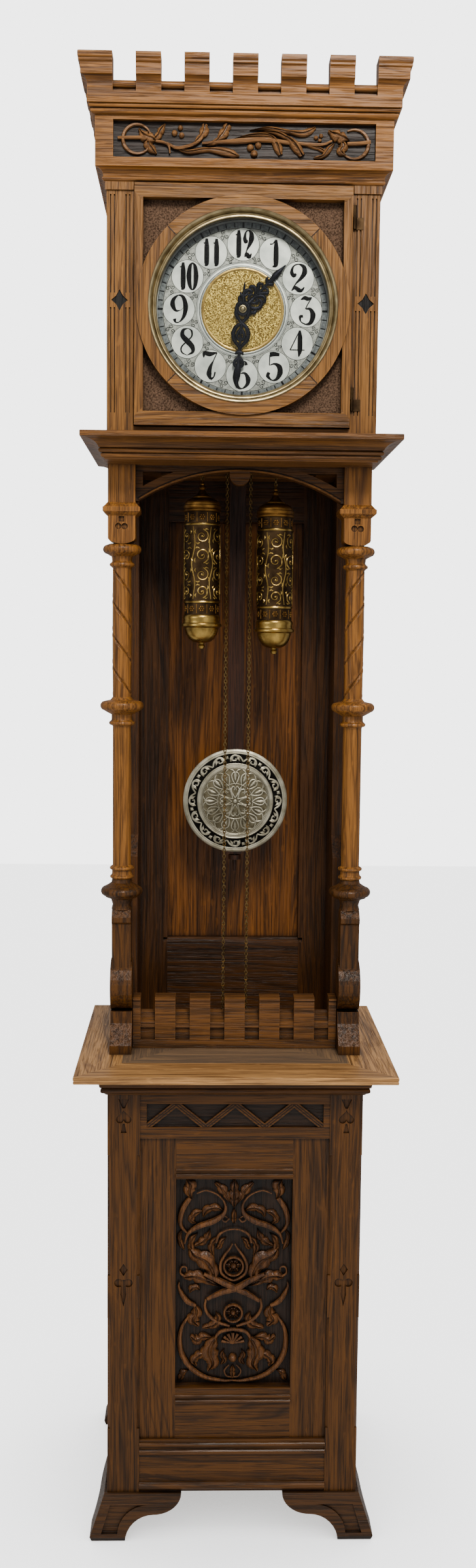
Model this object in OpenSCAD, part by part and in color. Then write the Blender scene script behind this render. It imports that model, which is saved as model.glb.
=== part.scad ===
// Tall oak hall clock: open trunk on turned columns, two drum weights, long pendulum.
// The front faces -Y, +Z is up, and the origin is on the floor under the middle of the table.

/* [Overall] */
// Width of the table board
table_w = 528; // [420:4:640]
// Depth of the table board
table_d = 450; // [360:5:560]
// Height of the table's top face
table_z = 823; // [700:1:950]
// Height of the open trunk, from the table to the hood cornice
trunk_h = 989; // [800:1:1200]
// Height of the hood's door opening
hood_h = 386; // [360:1:480]

/* [Lower case] */
// Width of the lower case
case_w = 424; // [340:4:500]
// Set-back of the case front behind the table's front edge
case_inset = 55; // [30:1:90]
// Set-back of the case back in front of the table's back edge
case_back_inset = 25; // [10:1:50]
// Height of the bracket feet
foot_h = 79; // [50:1:110]
// Outward flare of a foot at the floor
foot_flare = 24; // [10:1:40]
// Width of the case's corner stiles
stile_w = 54; // [35:0.5:70]
// Thickness of the case boards
board_t = 18; // [12:1:26]
// Height of the plinth board above the feet
plinth_h = 93; // [60:1:120]
// Height of the pierced rail under the table moulding
rail_h = 76; // [60:1:100]
// Height of the table moulding
table_mould_h = 34; // [20:1:50]
// Thickness of the table board
table_t = 12; // [10:1:30]
// Width of the inner frame's stiles
frame_stile_w = 60; // [40:1:80]

/* [Trunk] */
// Sideways place of each column axis
column_x = 195; // [150:1:230]
// Place of the column axes behind the table's front edge
column_inset = 165; // [120:1:200]
// Radius of the column shafts
shaft_r = 15.5; // [12:0.5:22]
// Height of the scroll console below a column
console_h = 245; // [200:1:300]
// Side of the square block on top of a column
cap_w = 45; // [38:1:60]
// Height of the square block on top of a column
cap_h = 61; // [40:1:80]
// Inside width between the trunk's side walls
trunk_clear_w = 344; // [280:2:400]
// Thickness of the trunk's side walls
trunk_wall_t = 34; // [20:1:40]
// Height of the battlemented gallery
gallery_h = 90; // [76:1:120]

/* [Hood] */
// Width of the hood across its sides
hood_w = 430; // [360:5:500]
// Set-back of the hood front behind the table's front edge
hood_inset = 80; // [60:1:110]
// Width of the hood's pilasters
pilaster_w = 42.5; // [30:0.5:60]
// Height of the hood cornice
cornice_h = 40; // [30:1:60]
// Height of the frieze box
frieze_h = 75; // [60:1:100]
// Height of the battlemented crown
crown_h = 86; // [70:1:110]
// Number of battlements across the crown
merlon_count = 7; // [5:2:9]

/* [Dial] */
// Radius of the glazed opening in the door
bezel_r = 148; // [120:1:155]
// Radius of the dial plate
dial_r = 139; // [110:1:146]
// Length of the minute hand from its axis
minute_len = 118; // [80:1:122]
// Length of the hour hand from its axis
hour_len = 97; // [60:1:105]

/* [Works] */
// Radius of a weight shell
weight_r = 30; // [25:0.5:34]
// Sideways place of each weight's axis
weight_x = 62; // [55:0.5:70]
// Radius at which the chain runs on its sprocket
sprocket_r = 21; // [18:0.5:23]
// Drop of a weight from fully wound
weight_drop = 320; // [250:5:330]
// Radius of the pendulum bob
bob_r = 93; // [75:1:100]
// Length from the pendulum's pivot to the middle of its bob
pendulum_len = 884; // [700:1:950]
// Width of the pendulum rod
rod_w = 28; // [20:1:34]
// Running clearance on a radius
run_gap = 0.05; // [0.02:0.01:0.1]

/* [Hidden] */
$fn = 48;

// Tones that tell the pieces apart.
oak = [0.62, 0.42, 0.22];
light_oak = [0.72, 0.52, 0.28];
dark_oak = [0.42, 0.26, 0.13];
brass_tone = [0.72, 0.56, 0.26];
dark_tone = [0.12, 0.10, 0.09];
silver_tone = [0.80, 0.80, 0.77];
glass_tone = [0.75, 0.85, 0.88, 0.35];
steel_tone = [0.55, 0.56, 0.58];

// Places that several pieces share.
tiny = 0.01;
front_y = -table_d / 2;
back_y = table_d / 2;
case_y = front_y + case_inset;
case_back_y = back_y - case_back_inset;
half_case = case_w / 2;
plinth_z = foot_h + plinth_h;
mould_z = table_z - table_t - table_mould_h;
rail_z = mould_z - rail_h;
recess = 7;
frame_y = case_y + recess;
frame_t = board_t;
open_x = half_case - stile_w;
panel_x = open_x - frame_stile_w;
top_rail_w = 72;
bottom_rail_w = 89;
panel_z0 = plinth_z + bottom_rail_w;
panel_z1 = rail_z - top_rail_w;
column_y = front_y + column_inset;
cornice_z = table_z + trunk_h;
hood_z = cornice_z + cornice_h;
hood_y = front_y + hood_inset;
half_hood = hood_w / 2;
bed_z = hood_z + hood_h;
bed_h = 19.5;
frieze_z = bed_z + bed_h;
crown_z = frieze_z + frieze_h;
hood_back_y = back_y - 20;
door_x = half_hood - pilaster_w;
door_gap = 1.5;
door_half = door_x - door_gap;
sill_h = 13;
head_h = 3;
door_z0 = hood_z + sill_h;
door_z1 = bed_z - head_h;
door_y = hood_y - 11;
door_t = 22;
dial_z = (door_z0 + door_z1) / 2;
wall_x = trunk_clear_w / 2;
trunk_back_y = back_y - 30;
trunk_frame_y = trunk_back_y - 50;
pillar_z = table_z + console_h;
cap_z = cornice_z - cap_h;
abacus_h = 22;
lower_block_h = 45;
shaft_top_z = cap_z - abacus_h - lower_block_h;

// Works: the plates stand on a board inside the hood, behind the dial.
dial_y = hood_y + 17;
dial_t = 2;
chain_y = front_y + 210;
pend_y = front_y + 290;
plate_t = 4;
plate_front_y = chain_y - 60;
plate_back_y = chain_y + 20;
seat_z = dial_z - 95;
seat_t = 15;
plate_top_z = dial_z + 96;
plate_half = 85;
sprocket_x = weight_x - sprocket_r;
sprocket_z = dial_z - 55;
pivot_z = dial_z + 75;
bob_z = pivot_z - pendulum_len;
escape_z = dial_z + 37;
escape_r = 18;
arbor_r = 3;
chain_r = 1.8;
weight_top_z = cornice_z - 46;
strike_drop = 8;
finial_h = 31;

function arc(cx, cy, r, a0, a1, steps = 8) =
    [for (i = [0:steps]) let (a = a0 + (a1 - a0) * i / steps) [cx + r * cos(a), cy + r * sin(a)]];

function oval(cx, cy, rx, ry, a0, a1, steps = 8) =
    [for (i = [0:steps]) let (a = a0 + (a1 - a0) * i / steps) [cx + rx * cos(a), cy + ry * sin(a)]];

module block(x0, x1, y0, y1, z0, z1)
    translate([x0, y0, z0]) cube([x1 - x0, y1 - y0, z1 - z0]);

module side_of(s)
    scale([s, 1, 1]) children();

module flip(s)
    if (s < 0) mirror([1, 0, 0]) children(); else children();

// A solid whose front and sides follow a profile of [outward, height] steps; its back is flat.
module moulding(half, yf, yb, steps) {
    n = len(steps);
    points = [for (p = steps) each [
        [-half - p[0], yf - p[0], p[1]], [half + p[0], yf - p[0], p[1]],
        [half + p[0], yb, p[1]], [-half - p[0], yb, p[1]]]];
    walls = [for (i = [0:n - 2], k = [0:3])
        [4 * i + k, 4 * (i + 1) + k, 4 * (i + 1) + (k + 1) % 4, 4 * i + (k + 1) % 4]];
    bottom = [0, 1, 2, 3];
    top = [4 * n - 1, 4 * n - 2, 4 * n - 3, 4 * n - 4];
    polyhedron(points, concat([bottom], walls, [top]));
}

// An outline in X and Z pushed along Y from y0 to y1.
module plate_xz(y0, y1)
    translate([0, y1, 0]) rotate([90, 0, 0]) linear_extrude(y1 - y0) children();

// An outline in Y and Z pushed along X from x0 to x1.
module plate_yz(x0, x1)
    translate([x0, 0, 0]) rotate([90, 0, 90]) linear_extrude(x1 - x0) children();

module rod_y(x, z, r, y0, y1)
    translate([x, y0, z]) rotate([-90, 0, 0]) cylinder(r = r, h = y1 - y0);

// ---------------------------------------------------------------- lower case
foot_t = 20;
foot_len = 131;
foot_pad = 36;
foot_waist = 84;
arch_h = 0.56 * foot_h;

// Face outline of a bracket foot, from its outer corner inwards.
module foot_outline(flare)
    polygon(concat(
        [[0, foot_h], [flare, 8], [flare - 3, 0]],
        oval(-foot_waist, 0, foot_waist - foot_pad, arch_h, 0, 90),
        oval(-foot_waist, foot_h, foot_len - foot_waist, foot_h - arch_h, -98, -180)));

// Slanting thickness of a foot's board, seen from its end.
module foot_slope(flare)
    polygon([[0, foot_h], [flare, 8], [flare - 3, 0], [flare - 3 - foot_t, 0], [-foot_t, foot_h]]);

module foot_pocket(flare)
    polygon(concat([[-10, foot_h - 19], [flare - 19, 13]],
        oval(-foot_waist + 8, 13, foot_waist - foot_pad + 5, foot_h - 32, 0, 90)));

module foot() {
    front_flare = foot_flare / 2;
    reach = foot_len + foot_flare;
    translate([half_case + 5, case_y - 5, 0]) {
        difference() {
            union() {
                intersection() {
                    plate_xz(-reach, reach) foot_outline(foot_flare);
                    plate_yz(-reach, reach) mirror([1, 0]) foot_slope(front_flare);
                }
                intersection() {
                    plate_yz(-reach, reach) mirror([1, 0]) foot_outline(front_flare);
                    plate_xz(-reach, reach) foot_slope(foot_flare);
                }
            }
            intersection() {
                plate_xz(-reach, reach) foot_pocket(foot_flare);
                translate([0, -foot_t + 2.5, 0]) plate_yz(-reach, reach)
                    mirror([1, 0]) foot_slope(front_flare);
            }
        }
    }
}

module feet_front()
    color(dark_oak) for (s = [-1, 1]) flip(s) foot();

module feet_back() {
    mid_y = (case_y + case_back_y) / 2;
    color(dark_oak) for (s = [-1, 1]) flip(s)
        translate([0, 2 * mid_y, 0]) mirror([0, 1, 0]) foot();
}

module plinth_board() {
    bead = 22;
    flat_top = foot_h + 65;
    color(oak) {
        block(-open_x, open_x, case_y + 2, case_y + board_t, foot_h, plinth_z);
        plate_yz(-open_x, open_x) polygon(concat(
            [[case_y + 3, foot_h]],
            [for (p = arc(case_y + 2, foot_h + 11, 7, 270, 90, 8)) p],
            [[case_y + 3, foot_h + bead]]));
        plate_yz(-open_x, open_x) polygon(concat(
            [[case_y + 3, flat_top]],
            arc(case_y + 2, flat_top + 6, 5, 270, 90, 6),
            arc(case_y + 2, flat_top + 19, 4, 270, 90, 6),
            [[case_y + 3, plinth_z]]));
    }
}

// A corner stile with two stopped chamfers down each edge.
module stile(s) {
    cut = 5;
    runs = [[plinth_z + 21, plinth_z + 218], [plinth_z + 292, rail_z - 28]];
    color(oak) flip(s) difference() {
        block(open_x, half_case, case_y, case_y + board_t + 12, foot_h, mould_z);
        for (run = runs, edge = [open_x, half_case])
            translate([edge, case_y, run[0]]) rotate([0, 0, 45])
                translate([-cut / 1.4, -cut / 1.4, 0]) cube([cut * 1.4, cut * 1.4, run[1] - run[0]]);
    }
}

module stile_left() stile(-1);
module stile_right() stile(1);

module case_side(s)
    color(oak) flip(s) {
        block(half_case - board_t, half_case - 3, case_y + board_t + 12, case_back_y - 12, foot_h, mould_z);
        block(half_case - board_t, half_case, case_y + board_t + 12, case_y + 90, foot_h, mould_z);
        block(half_case - board_t, half_case, case_back_y - 72, case_back_y - 12, foot_h, mould_z);
        block(half_case - board_t, half_case, case_y + 90, case_back_y - 72, foot_h, plinth_z);
        block(half_case - board_t, half_case, case_y + 90, case_back_y - 72, rail_z, mould_z);
    }

module case_side_left() case_side(-1);
module case_side_right() case_side(1);

module case_back()
    color(dark_oak) block(-half_case, half_case, case_back_y - 12, case_back_y, foot_h, mould_z);

module case_floor()
    color(dark_oak) block(-half_case + board_t, half_case - board_t,
        case_y + board_t + 12, case_back_y - 12, foot_h, foot_h + board_t);

// The pierced rail: a zigzag of diagonal bars in front of a dark back.
lattice_x = 147;
lattice_z0 = rail_z + 19;
lattice_z1 = mould_z - 17;
lattice_bays = 6;
bar_w = 8;

module lattice_rail() {
    bay = 2 * lattice_x / lattice_bays;
    deep = 6;
    color(oak) {
        difference() {
            block(-open_x, open_x, case_y + 2, case_y + board_t, rail_z, mould_z);
            block(-lattice_x, lattice_x, case_y, case_y + 2 + deep, lattice_z0, lattice_z1);
        }
        intersection() {
            block(-lattice_x, lattice_x, case_y + 3, case_y + 2 + deep + tiny, lattice_z0, lattice_z1);
            plate_xz(case_y + 3, case_y + 2 + deep + tiny) for (i = [0:lattice_bays - 1]) {
                x0 = -lattice_x + i * bay;
                up = i % 2;
                a = [x0, up ? lattice_z1 : lattice_z0];
                b = [x0 + bay, up ? lattice_z0 : lattice_z1];
                polygon([a - [bar_w, 0], a + [bar_w, 0], b + [bar_w, 0], b - [bar_w, 0]]);
            }
        }
    }
}

// The inner frame with stopped chamfers round the carved panel, and its mouldings.
module case_frame() {
    lip = 22;
    color(oak) {
        difference() {
            block(-open_x, open_x, frame_y, frame_y + frame_t, plinth_z, rail_z);
            block(-panel_x, panel_x, frame_y - 1, frame_y + frame_t + 1, panel_z0, panel_z1);
        }
        for (k = [0, 1]) {
            z0 = k ? panel_z1 : panel_z0 - lip - 8;
            plate_yz(-panel_x, panel_x) polygon(concat(
                [[frame_y + tiny, z0]],
                arc(frame_y, z0 + 6, 4, 270, 90, 6), arc(frame_y, z0 + 16, 3, 270, 90, 6),
                [[frame_y + tiny, z0 + lip]]));
        }
    }
}

module carved_panel()
    color(dark_oak) block(-panel_x - 8, panel_x + 8, frame_y + frame_t, frame_y + frame_t + 10,
        panel_z0 - 8, panel_z1 + 8);

module table_moulding()
    color(oak) difference() {
        moulding(half_case, case_y, case_back_y, concat(
            [[2, mould_z], [5, mould_z + 3]], arc(6, mould_z + 9, 5, -60, 60, 6),
            [[12, mould_z + 15], [13, mould_z + 18]], arc(21, mould_z + 18, 8, 180, 110, 6),
            [[19, mould_z + 27], [19, table_z - table_t]]));
        block(-half_case + board_t, half_case - board_t, case_y + 30, case_back_y - 30,
            mould_z - 1, table_z);
    }

module table_top()
    color(light_oak) moulding(table_w / 2 - 4, front_y + 4, back_y,
        [[3, table_z - table_t], [4, table_z - table_t + 3],
         [3, table_z - table_t + 6], [4, table_z - table_t + 7], [4, table_z - 1], [3, table_z]]);

// ---------------------------------------------------------------- trunk
gallery_t = 30;
gallery_y = front_y + 164.5;
gallery_half = column_x - 19.5;
gallery_pitch = gallery_half / 2.925;
merlon_w = gallery_pitch * 7 / 12;
gallery_foot = 15;
gallery_sill = 36;

module gallery() {
    half = gallery_half;
    color(light_oak) {
        block(-half, half, gallery_y, gallery_y + gallery_t, table_z, table_z + gallery_foot);
        for (k = [-3:3]) {
            a = max(-half, k * gallery_pitch - merlon_w / 2);
            b = min(half, k * gallery_pitch + merlon_w / 2);
            block(a, b, gallery_y, gallery_y + gallery_t, table_z + gallery_foot - tiny,
                table_z + gallery_h - 6);
            plate_yz(a, b) polygon([[gallery_y, table_z + gallery_h - 6 - tiny],
                [gallery_y - 3, table_z + gallery_h - 5], [gallery_y - 3, table_z + gallery_h - 2],
                [gallery_y + 4, table_z + gallery_h], [gallery_y + gallery_t, table_z + gallery_h],
                [gallery_y + gallery_t, table_z + gallery_h - 6 - tiny]]);
        }
        for (k = [-3:2])
            plate_yz(k * gallery_pitch + merlon_w / 2 - tiny, (k + 1) * gallery_pitch - merlon_w / 2 + tiny)
                polygon([[gallery_y + 9, table_z + gallery_foot - tiny],
                    [gallery_y + 9, table_z + gallery_sill - 1], [gallery_y + 3, table_z + gallery_sill],
                    [gallery_y + 3, table_z + gallery_sill + 8],
                    [gallery_y + gallery_t, table_z + gallery_sill + 25],
                    [gallery_y + gallery_t, table_z + gallery_foot - tiny]]);
    }
}

// Side outline of a scroll console, from the toe up to the neck under the column.
console_w = 32;
scroll_w = 37;

module console(s) {
    toe_y = front_y + 125;
    cy = column_y;
    z = table_z;
    k = console_h / 245;
    color(oak) flip(s) {
        plate_yz(column_x - scroll_w / 2, column_x + scroll_w / 2) {
            polygon([[toe_y, z], [toe_y, z + 15 * k], [toe_y + 25, z + 48 * k], [toe_y + 27, z + 68 * k],
                [cy + 36, z + 68 * k], [cy + 44, z + 20 * k], [cy + 44, z]]);
            polygon(concat([[cy + 34, z + 67 * k]],
                oval(cy + 14, z + 112 * k, 45, 45 * k, 250, 95, 14),
                [[cy + 22, z + 150 * k]]));
        }
        plate_yz(column_x - console_w / 2, column_x + console_w / 2)
            polygon([[cy + 24, z + 138 * k], [cy - 16, z + 138 * k], [cy - 18, z + 221 * k],
                [cy - 23, z + 225 * k], [cy - 23, z + 233 * k], [cy - 14, z + 245 * k], [cy + 14, z + 245 * k],
                [cy + 23, z + 233 * k], [cy + 23, z + 225 * k], [cy + 24, z + 200 * k]]);
    }
}

module console_left() console(-1);
module console_right() console(1);

// Half outline of a turned column as [radius, height].
module column(s) {
    r = shaft_r;
    z0 = pillar_z;
    z1 = shaft_top_z;
    mid = z0 + 0.552 * (z1 - z0);
    color(light_oak) flip(s) translate([column_x, column_y, 0]) rotate_extrude($fn = 64)
        polygon(concat(
            [[0, z0], [r + 2, z0], [r, z0 + 8], [r + 3, z0 + 18], [r + 12, z0 + 21]],
            arc(r + 12, z0 + 31, 8, -80, 80, 8),
            [[r + 8, z0 + 42], [r + 1, z0 + 46], [r + 1, z0 + 52]],
            arc(r + 1.5, z0 + 56, 3, -80, 80, 4),
            [[r + 1, z0 + 62], [r + 1, z0 + 68]], arc(r + 2, z0 + 71, 3, -80, 80, 4),
            [[r, z0 + 76], [r, mid - 28], [r + 1, mid - 26]], arc(r + 3, mid - 22, 3.5, -80, 80, 4),
            [[r + 2, mid - 16], [r + 2, mid - 8], [r + 13, mid - 2]],
            arc(r + 13, mid + 7, 8, -80, 80, 8),
            [[r + 4, mid + 17], [r, mid + 20], [r, z1 - 40], [r + 2, z1 - 38]],
            arc(r + 2, z1 - 34, 3.5, -80, 80, 4),
            [[r + 1, z1 - 28], [r + 2, z1 - 21], [r + 9, z1 - 17]],
            arc(r + 9, z1 - 9, 7.5, -80, 80, 8),
            [[r + 6, z1], [0, z1]]));
}

module column_left() column(-1);
module column_right() column(1);

// Square cap: lower block with rounded lower corners, abacus moulding and top block.
module cap(s) {
    h = cap_w / 2;
    z0 = shaft_top_z;
    za = z0 + lower_block_h;
    color(light_oak) flip(s) translate([column_x, column_y, 0]) {
        intersection() {
            block(-h, h, -h, h, z0, za + tiny);
            union() {
                block(-h, h, -h, h, z0 + 9, za + tiny);
                translate([0, 0, z0 + 9]) rotate([90, 0, 0]) scale([1, 9 / h, 1])
                    cylinder(r = h - tiny, h = cap_w, center = true);
            }
        }
        hull() {
            block(-h, h, -h, h, za, za + tiny);
            block(-h - 7, h + 7, -h - 7, h + 7, za + 6, za + 7);
        }
        block(-h - 8, h + 8, -h - 8, h + 8, za + 7 - tiny, za + 14);
        hull() {
            block(-h - 7, h + 7, -h - 7, h + 7, za + 14 - tiny, za + 14);
            block(-h, h, -h, h, za + abacus_h - tiny, za + abacus_h);
        }
        block(-h, h, -h, h, za + abacus_h - tiny, cornice_z);
    }
}

module cap_left() cap(-1);
module cap_right() cap(1);

// Pierced board with a segmental arch and a half-round drop in the middle.
arch_t = 20;

module arch_board() {
    half = column_x - cap_w / 2;
    low = cornice_z - 58;
    rise = 50;
    r = (pow(half - 4, 2) + pow(rise, 2)) / (2 * rise);
    cz = low + rise - r;
    color(oak) plate_xz(column_y - arch_t / 2, column_y + arch_t / 2) {
        difference() {
            translate([-half, low]) square([2 * half, cornice_z - low]);
            translate([0, cz]) circle(r = r, $fn = 160);
            for (k = [-1, 1]) scale([k, 1]) intersection() {
                polygon([[55, cornice_z - 10], [half - 12, cornice_z - 10], [half - 12, low + 12], [55, low + 12]]);
                difference() {
                    translate([55, low]) square([half, 60]);
                    translate([0, cz]) circle(r = r + 17, $fn = 160);
                }
            }
        }
        intersection() {
            translate([0, cornice_z - 13]) circle(r = 17);
            translate([-20, low]) square([40, cornice_z - low]);
        }
    }
}

module trunk_wall(s) {
    upper_y = front_y + 270;
    lower_y = upper_y - 30;
    step_z = table_z + 323;
    color(dark_oak) flip(s) plate_yz(wall_x, wall_x + trunk_wall_t)
        polygon([[lower_y, table_z], [lower_y, step_z], [upper_y, step_z + 36], [upper_y, cornice_z],
            [trunk_back_y, cornice_z], [trunk_back_y, table_z]]);
}

module trunk_wall_left() trunk_wall(-1);
module trunk_wall_right() trunk_wall(1);

trunk_stile = 50;
trunk_top_rail = 73;
trunk_low_rail = 150;

module trunk_frame()
    color(dark_oak) difference() {
        block(-wall_x, wall_x, trunk_frame_y, trunk_frame_y + 20, table_z, cornice_z);
        block(-wall_x + trunk_stile, wall_x - trunk_stile, trunk_frame_y - 1, trunk_frame_y + 21,
            table_z + trunk_low_rail, cornice_z - trunk_top_rail);
        plate_yz(-wall_x + trunk_stile - 8, wall_x - trunk_stile + 8)
            polygon([[trunk_frame_y - 1, table_z + trunk_low_rail - 9],
                [trunk_frame_y - 1, table_z + trunk_low_rail + 1],
                [trunk_frame_y + 9, table_z + trunk_low_rail + 1]]);
    }

module trunk_panel()
    color(dark_oak) block(-wall_x + trunk_stile - 12, wall_x - trunk_stile + 12,
        trunk_frame_y + 20, trunk_frame_y + 28, table_z + 8, cornice_z - 8);

// ---------------------------------------------------------------- hood
well_x = 135;

module mid_cornice()
    color(light_oak) difference() {
        moulding(half_hood, hood_y, hood_back_y, concat(
            [[3, cornice_z], [4, cornice_z + 2]], arc(5, cornice_z + 6, 4, -60, 60, 5),
            arc(9, cornice_z + 13, 3.5, -70, 80, 5),
            [for (p = arc(0, 0, 1, 172, 100, 8)) [39 + 27 * p[0], cornice_z + 15.5 + 15.5 * p[1]]],
            [[39, cornice_z + cornice_h - 9], [40, cornice_z + cornice_h - 8.5],
             [40, cornice_z + cornice_h - 1], [39, hood_z]]));
        block(-well_x, well_x, column_y + arch_t / 2 + 12, pend_y + 30, cornice_z - 1, hood_z + 1);
    }

// Pilaster with paired channels and a pierced four-point star at mid height.
module pilaster(s) {
    mid_x = half_hood - pilaster_w / 2;
    star_z = hood_z + 207;
    color(light_oak) flip(s) difference() {
        union() {
            block(door_x, half_hood, hood_y, hood_y + 24, hood_z, bed_z);
            block(door_x, half_hood + 2, hood_y - 3, hood_y + 24, bed_z - 12, bed_z);
        }
        for (run = [[hood_z + 33, star_z - 11], [star_z + 11, bed_z - 18]], dx = [-15, -9, 9, 15])
            block(mid_x + dx - 1.2, mid_x + dx + 1.2, hood_y - 1, hood_y + 2.5, run[0], run[1]);
        translate([mid_x, hood_y + 3, star_z]) rotate([90, 0, 0]) linear_extrude(6)
            polygon([for (i = [0:7]) let (q = i % 2 ? 5 : 13) [q * cos(i * 45), q * sin(i * 45)]]);
    }
}

module pilaster_left() pilaster(-1);
module pilaster_right() pilaster(1);

module hood_side(s)
    color(light_oak) flip(s) block(half_hood - board_t, half_hood, hood_y + 24, hood_back_y, hood_z, bed_z);

module hood_side_left() hood_side(-1);
module hood_side_right() hood_side(1);

module hood_back()
    color(dark_oak) block(-half_hood + board_t, half_hood - board_t, hood_back_y - 10, hood_back_y,
        hood_z, crown_z - 12);

module hood_rails()
    color(light_oak) {
        block(-door_x, door_x, hood_y, hood_y + 24, hood_z, door_z0 - door_gap);
        block(-door_x, door_x, hood_y, hood_y + 24, door_z1 + door_gap, bed_z);
    }

module bed_moulding()
    color(light_oak) difference() {
        moulding(half_hood, hood_y, hood_back_y, concat(
            [[3, bed_z]], arc(3, bed_z + 4, 3.5, -60, 60, 4),
            arc(16, bed_z + 8, 11, 180, 100, 6), [[17, frieze_z]]));
        block(-half_hood + board_t, half_hood - board_t, hood_y + 24, hood_back_y + 1, bed_z - 1, frieze_z + 1);
    }

frieze_out = 17;
frieze_panel_x = 204;
frieze_margin_z = 13;

module frieze()
    color(light_oak) difference() {
        moulding(half_hood, hood_y, hood_back_y, [[frieze_out, frieze_z], [frieze_out, crown_z]]);
        block(-half_hood + board_t, half_hood - board_t, hood_y + 24, hood_back_y + 1, frieze_z - 1, crown_z + 1);
        block(-frieze_panel_x, frieze_panel_x, hood_y - frieze_out - 1, hood_y - frieze_out + 9,
            frieze_z + frieze_margin_z, crown_z - 6);
    }

module hood_top()
    color(dark_oak) block(-half_hood + board_t, half_hood - board_t, hood_y + 24, hood_back_y,
        crown_z - 12, crown_z);

// Battlemented crown: moulded wall, notched through on three sides, with a roll on each sill.
module crown() {
    wall = 24;
    notch_z = crown_z + 32;
    pitch = 2 * (half_hood + 16.5) / (merlon_count - 1 + 0.22);
    gap = 0.48 * pitch;
    color(light_oak) {
        difference() {
            moulding(half_hood, hood_y, hood_back_y, concat(
                [[frieze_out, crown_z], [frieze_out + 1, crown_z]],
                arc(frieze_out + 2, crown_z + 5, 4.5, -70, 70, 6), [[frieze_out + 5, crown_z + 10]],
                arc(frieze_out + 6, crown_z + 12, 3, -60, 60, 4),
                [[28, crown_z + 15.5], [28, notch_z + 8]],
                arc(28 + 12, notch_z + 10, 12, 180, 100, 6), [[38, crown_z + crown_h - 16],
                [41, crown_z + crown_h - 14], [41, crown_z + crown_h - 11], [40, crown_z + crown_h - 10.5],
                [42, crown_z + crown_h - 8], [42, crown_z + crown_h - 1.5], [40, crown_z + crown_h]]));
            block(-half_hood - 28 + wall, half_hood + 28 - wall, hood_y - 28 + wall, hood_back_y + 1,
                crown_z + 16, crown_z + crown_h + 1);
            block(-half_hood + board_t, half_hood - board_t, hood_y + 24, hood_back_y - 10,
                crown_z - 1, crown_z + 17);
            for (k = [-(merlon_count - 2) / 2:(merlon_count - 2) / 2])
                block(k * pitch - gap / 2, k * pitch + gap / 2, hood_y - 60, hood_y + 20,
                    notch_z, crown_z + crown_h + 1);
            for (y = [hood_y + 60:pitch:hood_back_y - 50])
                for (k = [-1, 1])
                    block(k > 0 ? half_hood - 10 : -half_hood - 60, k > 0 ? half_hood + 60 : -half_hood + 10,
                        y - gap / 2, y + gap / 2, notch_z, crown_z + crown_h + 1);
        }
        for (k = [-(merlon_count - 2) / 2:(merlon_count - 2) / 2])
            block(k * pitch - gap / 2 - tiny, k * pitch + gap / 2 + tiny, hood_y - 20, hood_y - 28 + wall,
                notch_z - 1, notch_z + 18);
        for (k = [-(merlon_count - 2) / 2:(merlon_count - 2) / 2])
            translate([k * pitch, hood_y - 20, notch_z + 12]) rotate([0, 90, 0])
                cylinder(r = 6, h = gap + 2 * tiny, center = true, $fn = 32);
    }
}

// ---------------------------------------------------------------- dial door
opening_x = door_half - 13.5;
opening_z = (door_z1 - door_z0) / 2 - 21.5;
ring_r = door_half - 3;

module door_frame()
    color(light_oak) difference() {
        union() {
            difference() {
                block(-door_half, door_half, door_y, door_y + door_t, door_z0, door_z1);
                block(-opening_x, opening_x, door_y - 1, door_y + door_t + 1,
                    dial_z - opening_z, dial_z + opening_z);
            }
            rod_y(0, dial_z, ring_r, door_y - 4, door_y + door_t - 6);
        }
        rod_y(0, dial_z, bezel_r + 0.1, door_y - 10, door_y + door_t + 10);
    }

module spandrel_plate()
    color(dark_tone) difference() {
        block(-opening_x, opening_x, door_y + door_t - 6, door_y + door_t - 3,
            dial_z - opening_z, dial_z + opening_z);
        rod_y(0, dial_z, bezel_r + 0.1, door_y, door_y + door_t + 10);
    }

glass_y = door_y + 5;
glass_t = 2.5;
bezel_w = 14;

module bezel()
    color(brass_tone) translate([0, door_y, dial_z]) rotate([-90, 0, 0]) rotate_extrude($fn = 128)
        polygon([[bezel_r, -2], [bezel_r, 15], [bezel_r - bezel_w, 15], [bezel_r - bezel_w, 5 + glass_t],
            [bezel_r - bezel_w + 3, 5 + glass_t], [bezel_r - bezel_w + 3, 5], [bezel_r - bezel_w, 5],
            [bezel_r - bezel_w, 3], [bezel_r - 10, 3], [bezel_r - 9, 0], [bezel_r - 5, 0],
            [bezel_r - 4, -6], [bezel_r + 3, -7], [bezel_r + 5, -4.5], [bezel_r + 4, -4], [bezel_r, -4]]);

module glass()
    color(glass_tone) translate([0, glass_y, dial_z]) rotate([-90, 0, 0])
        cylinder(r = bezel_r - bezel_w + 3, h = glass_t, $fn = 128);

// Butt hinges on the right of the door: the case half carries the pin.
knuckle_r = 3;
hinge_pin_r = 1.5;
hinge_x = door_x + 2;
hinge_y = hood_y - knuckle_r;
hinge_len = 36;
hinge_zs = [door_z0 + 45, door_z1 - 45];

module door_leaves()
    color(brass_tone) for (z = hinge_zs) difference() {
        union() {
            translate([hinge_x, hinge_y, z + 0.2]) cylinder(r = knuckle_r, h = hinge_len / 2);
            block(door_half, hinge_x - 1, hinge_y - 2.5, hinge_y + 2.5, z + 0.2, z + hinge_len / 2 + 0.2);
        }
        translate([hinge_x, hinge_y, z - 1]) cylinder(r = hinge_pin_r + run_gap, h = hinge_len);
    }

module case_leaves()
    color(brass_tone) for (z = hinge_zs) {
        translate([hinge_x, hinge_y, z - hinge_len / 2]) cylinder(r = knuckle_r, h = hinge_len / 2);
        translate([hinge_x, hinge_y, z - hinge_len / 2]) cylinder(r = hinge_pin_r, h = hinge_len + 0.2);
        block(hinge_x, hinge_x + 14, hood_y - 1.2, hood_y, z - hinge_len / 2, z);
    }

// ---------------------------------------------------------------- dial and hands
centre_r = 66;
pipe_r = 5.5;

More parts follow.
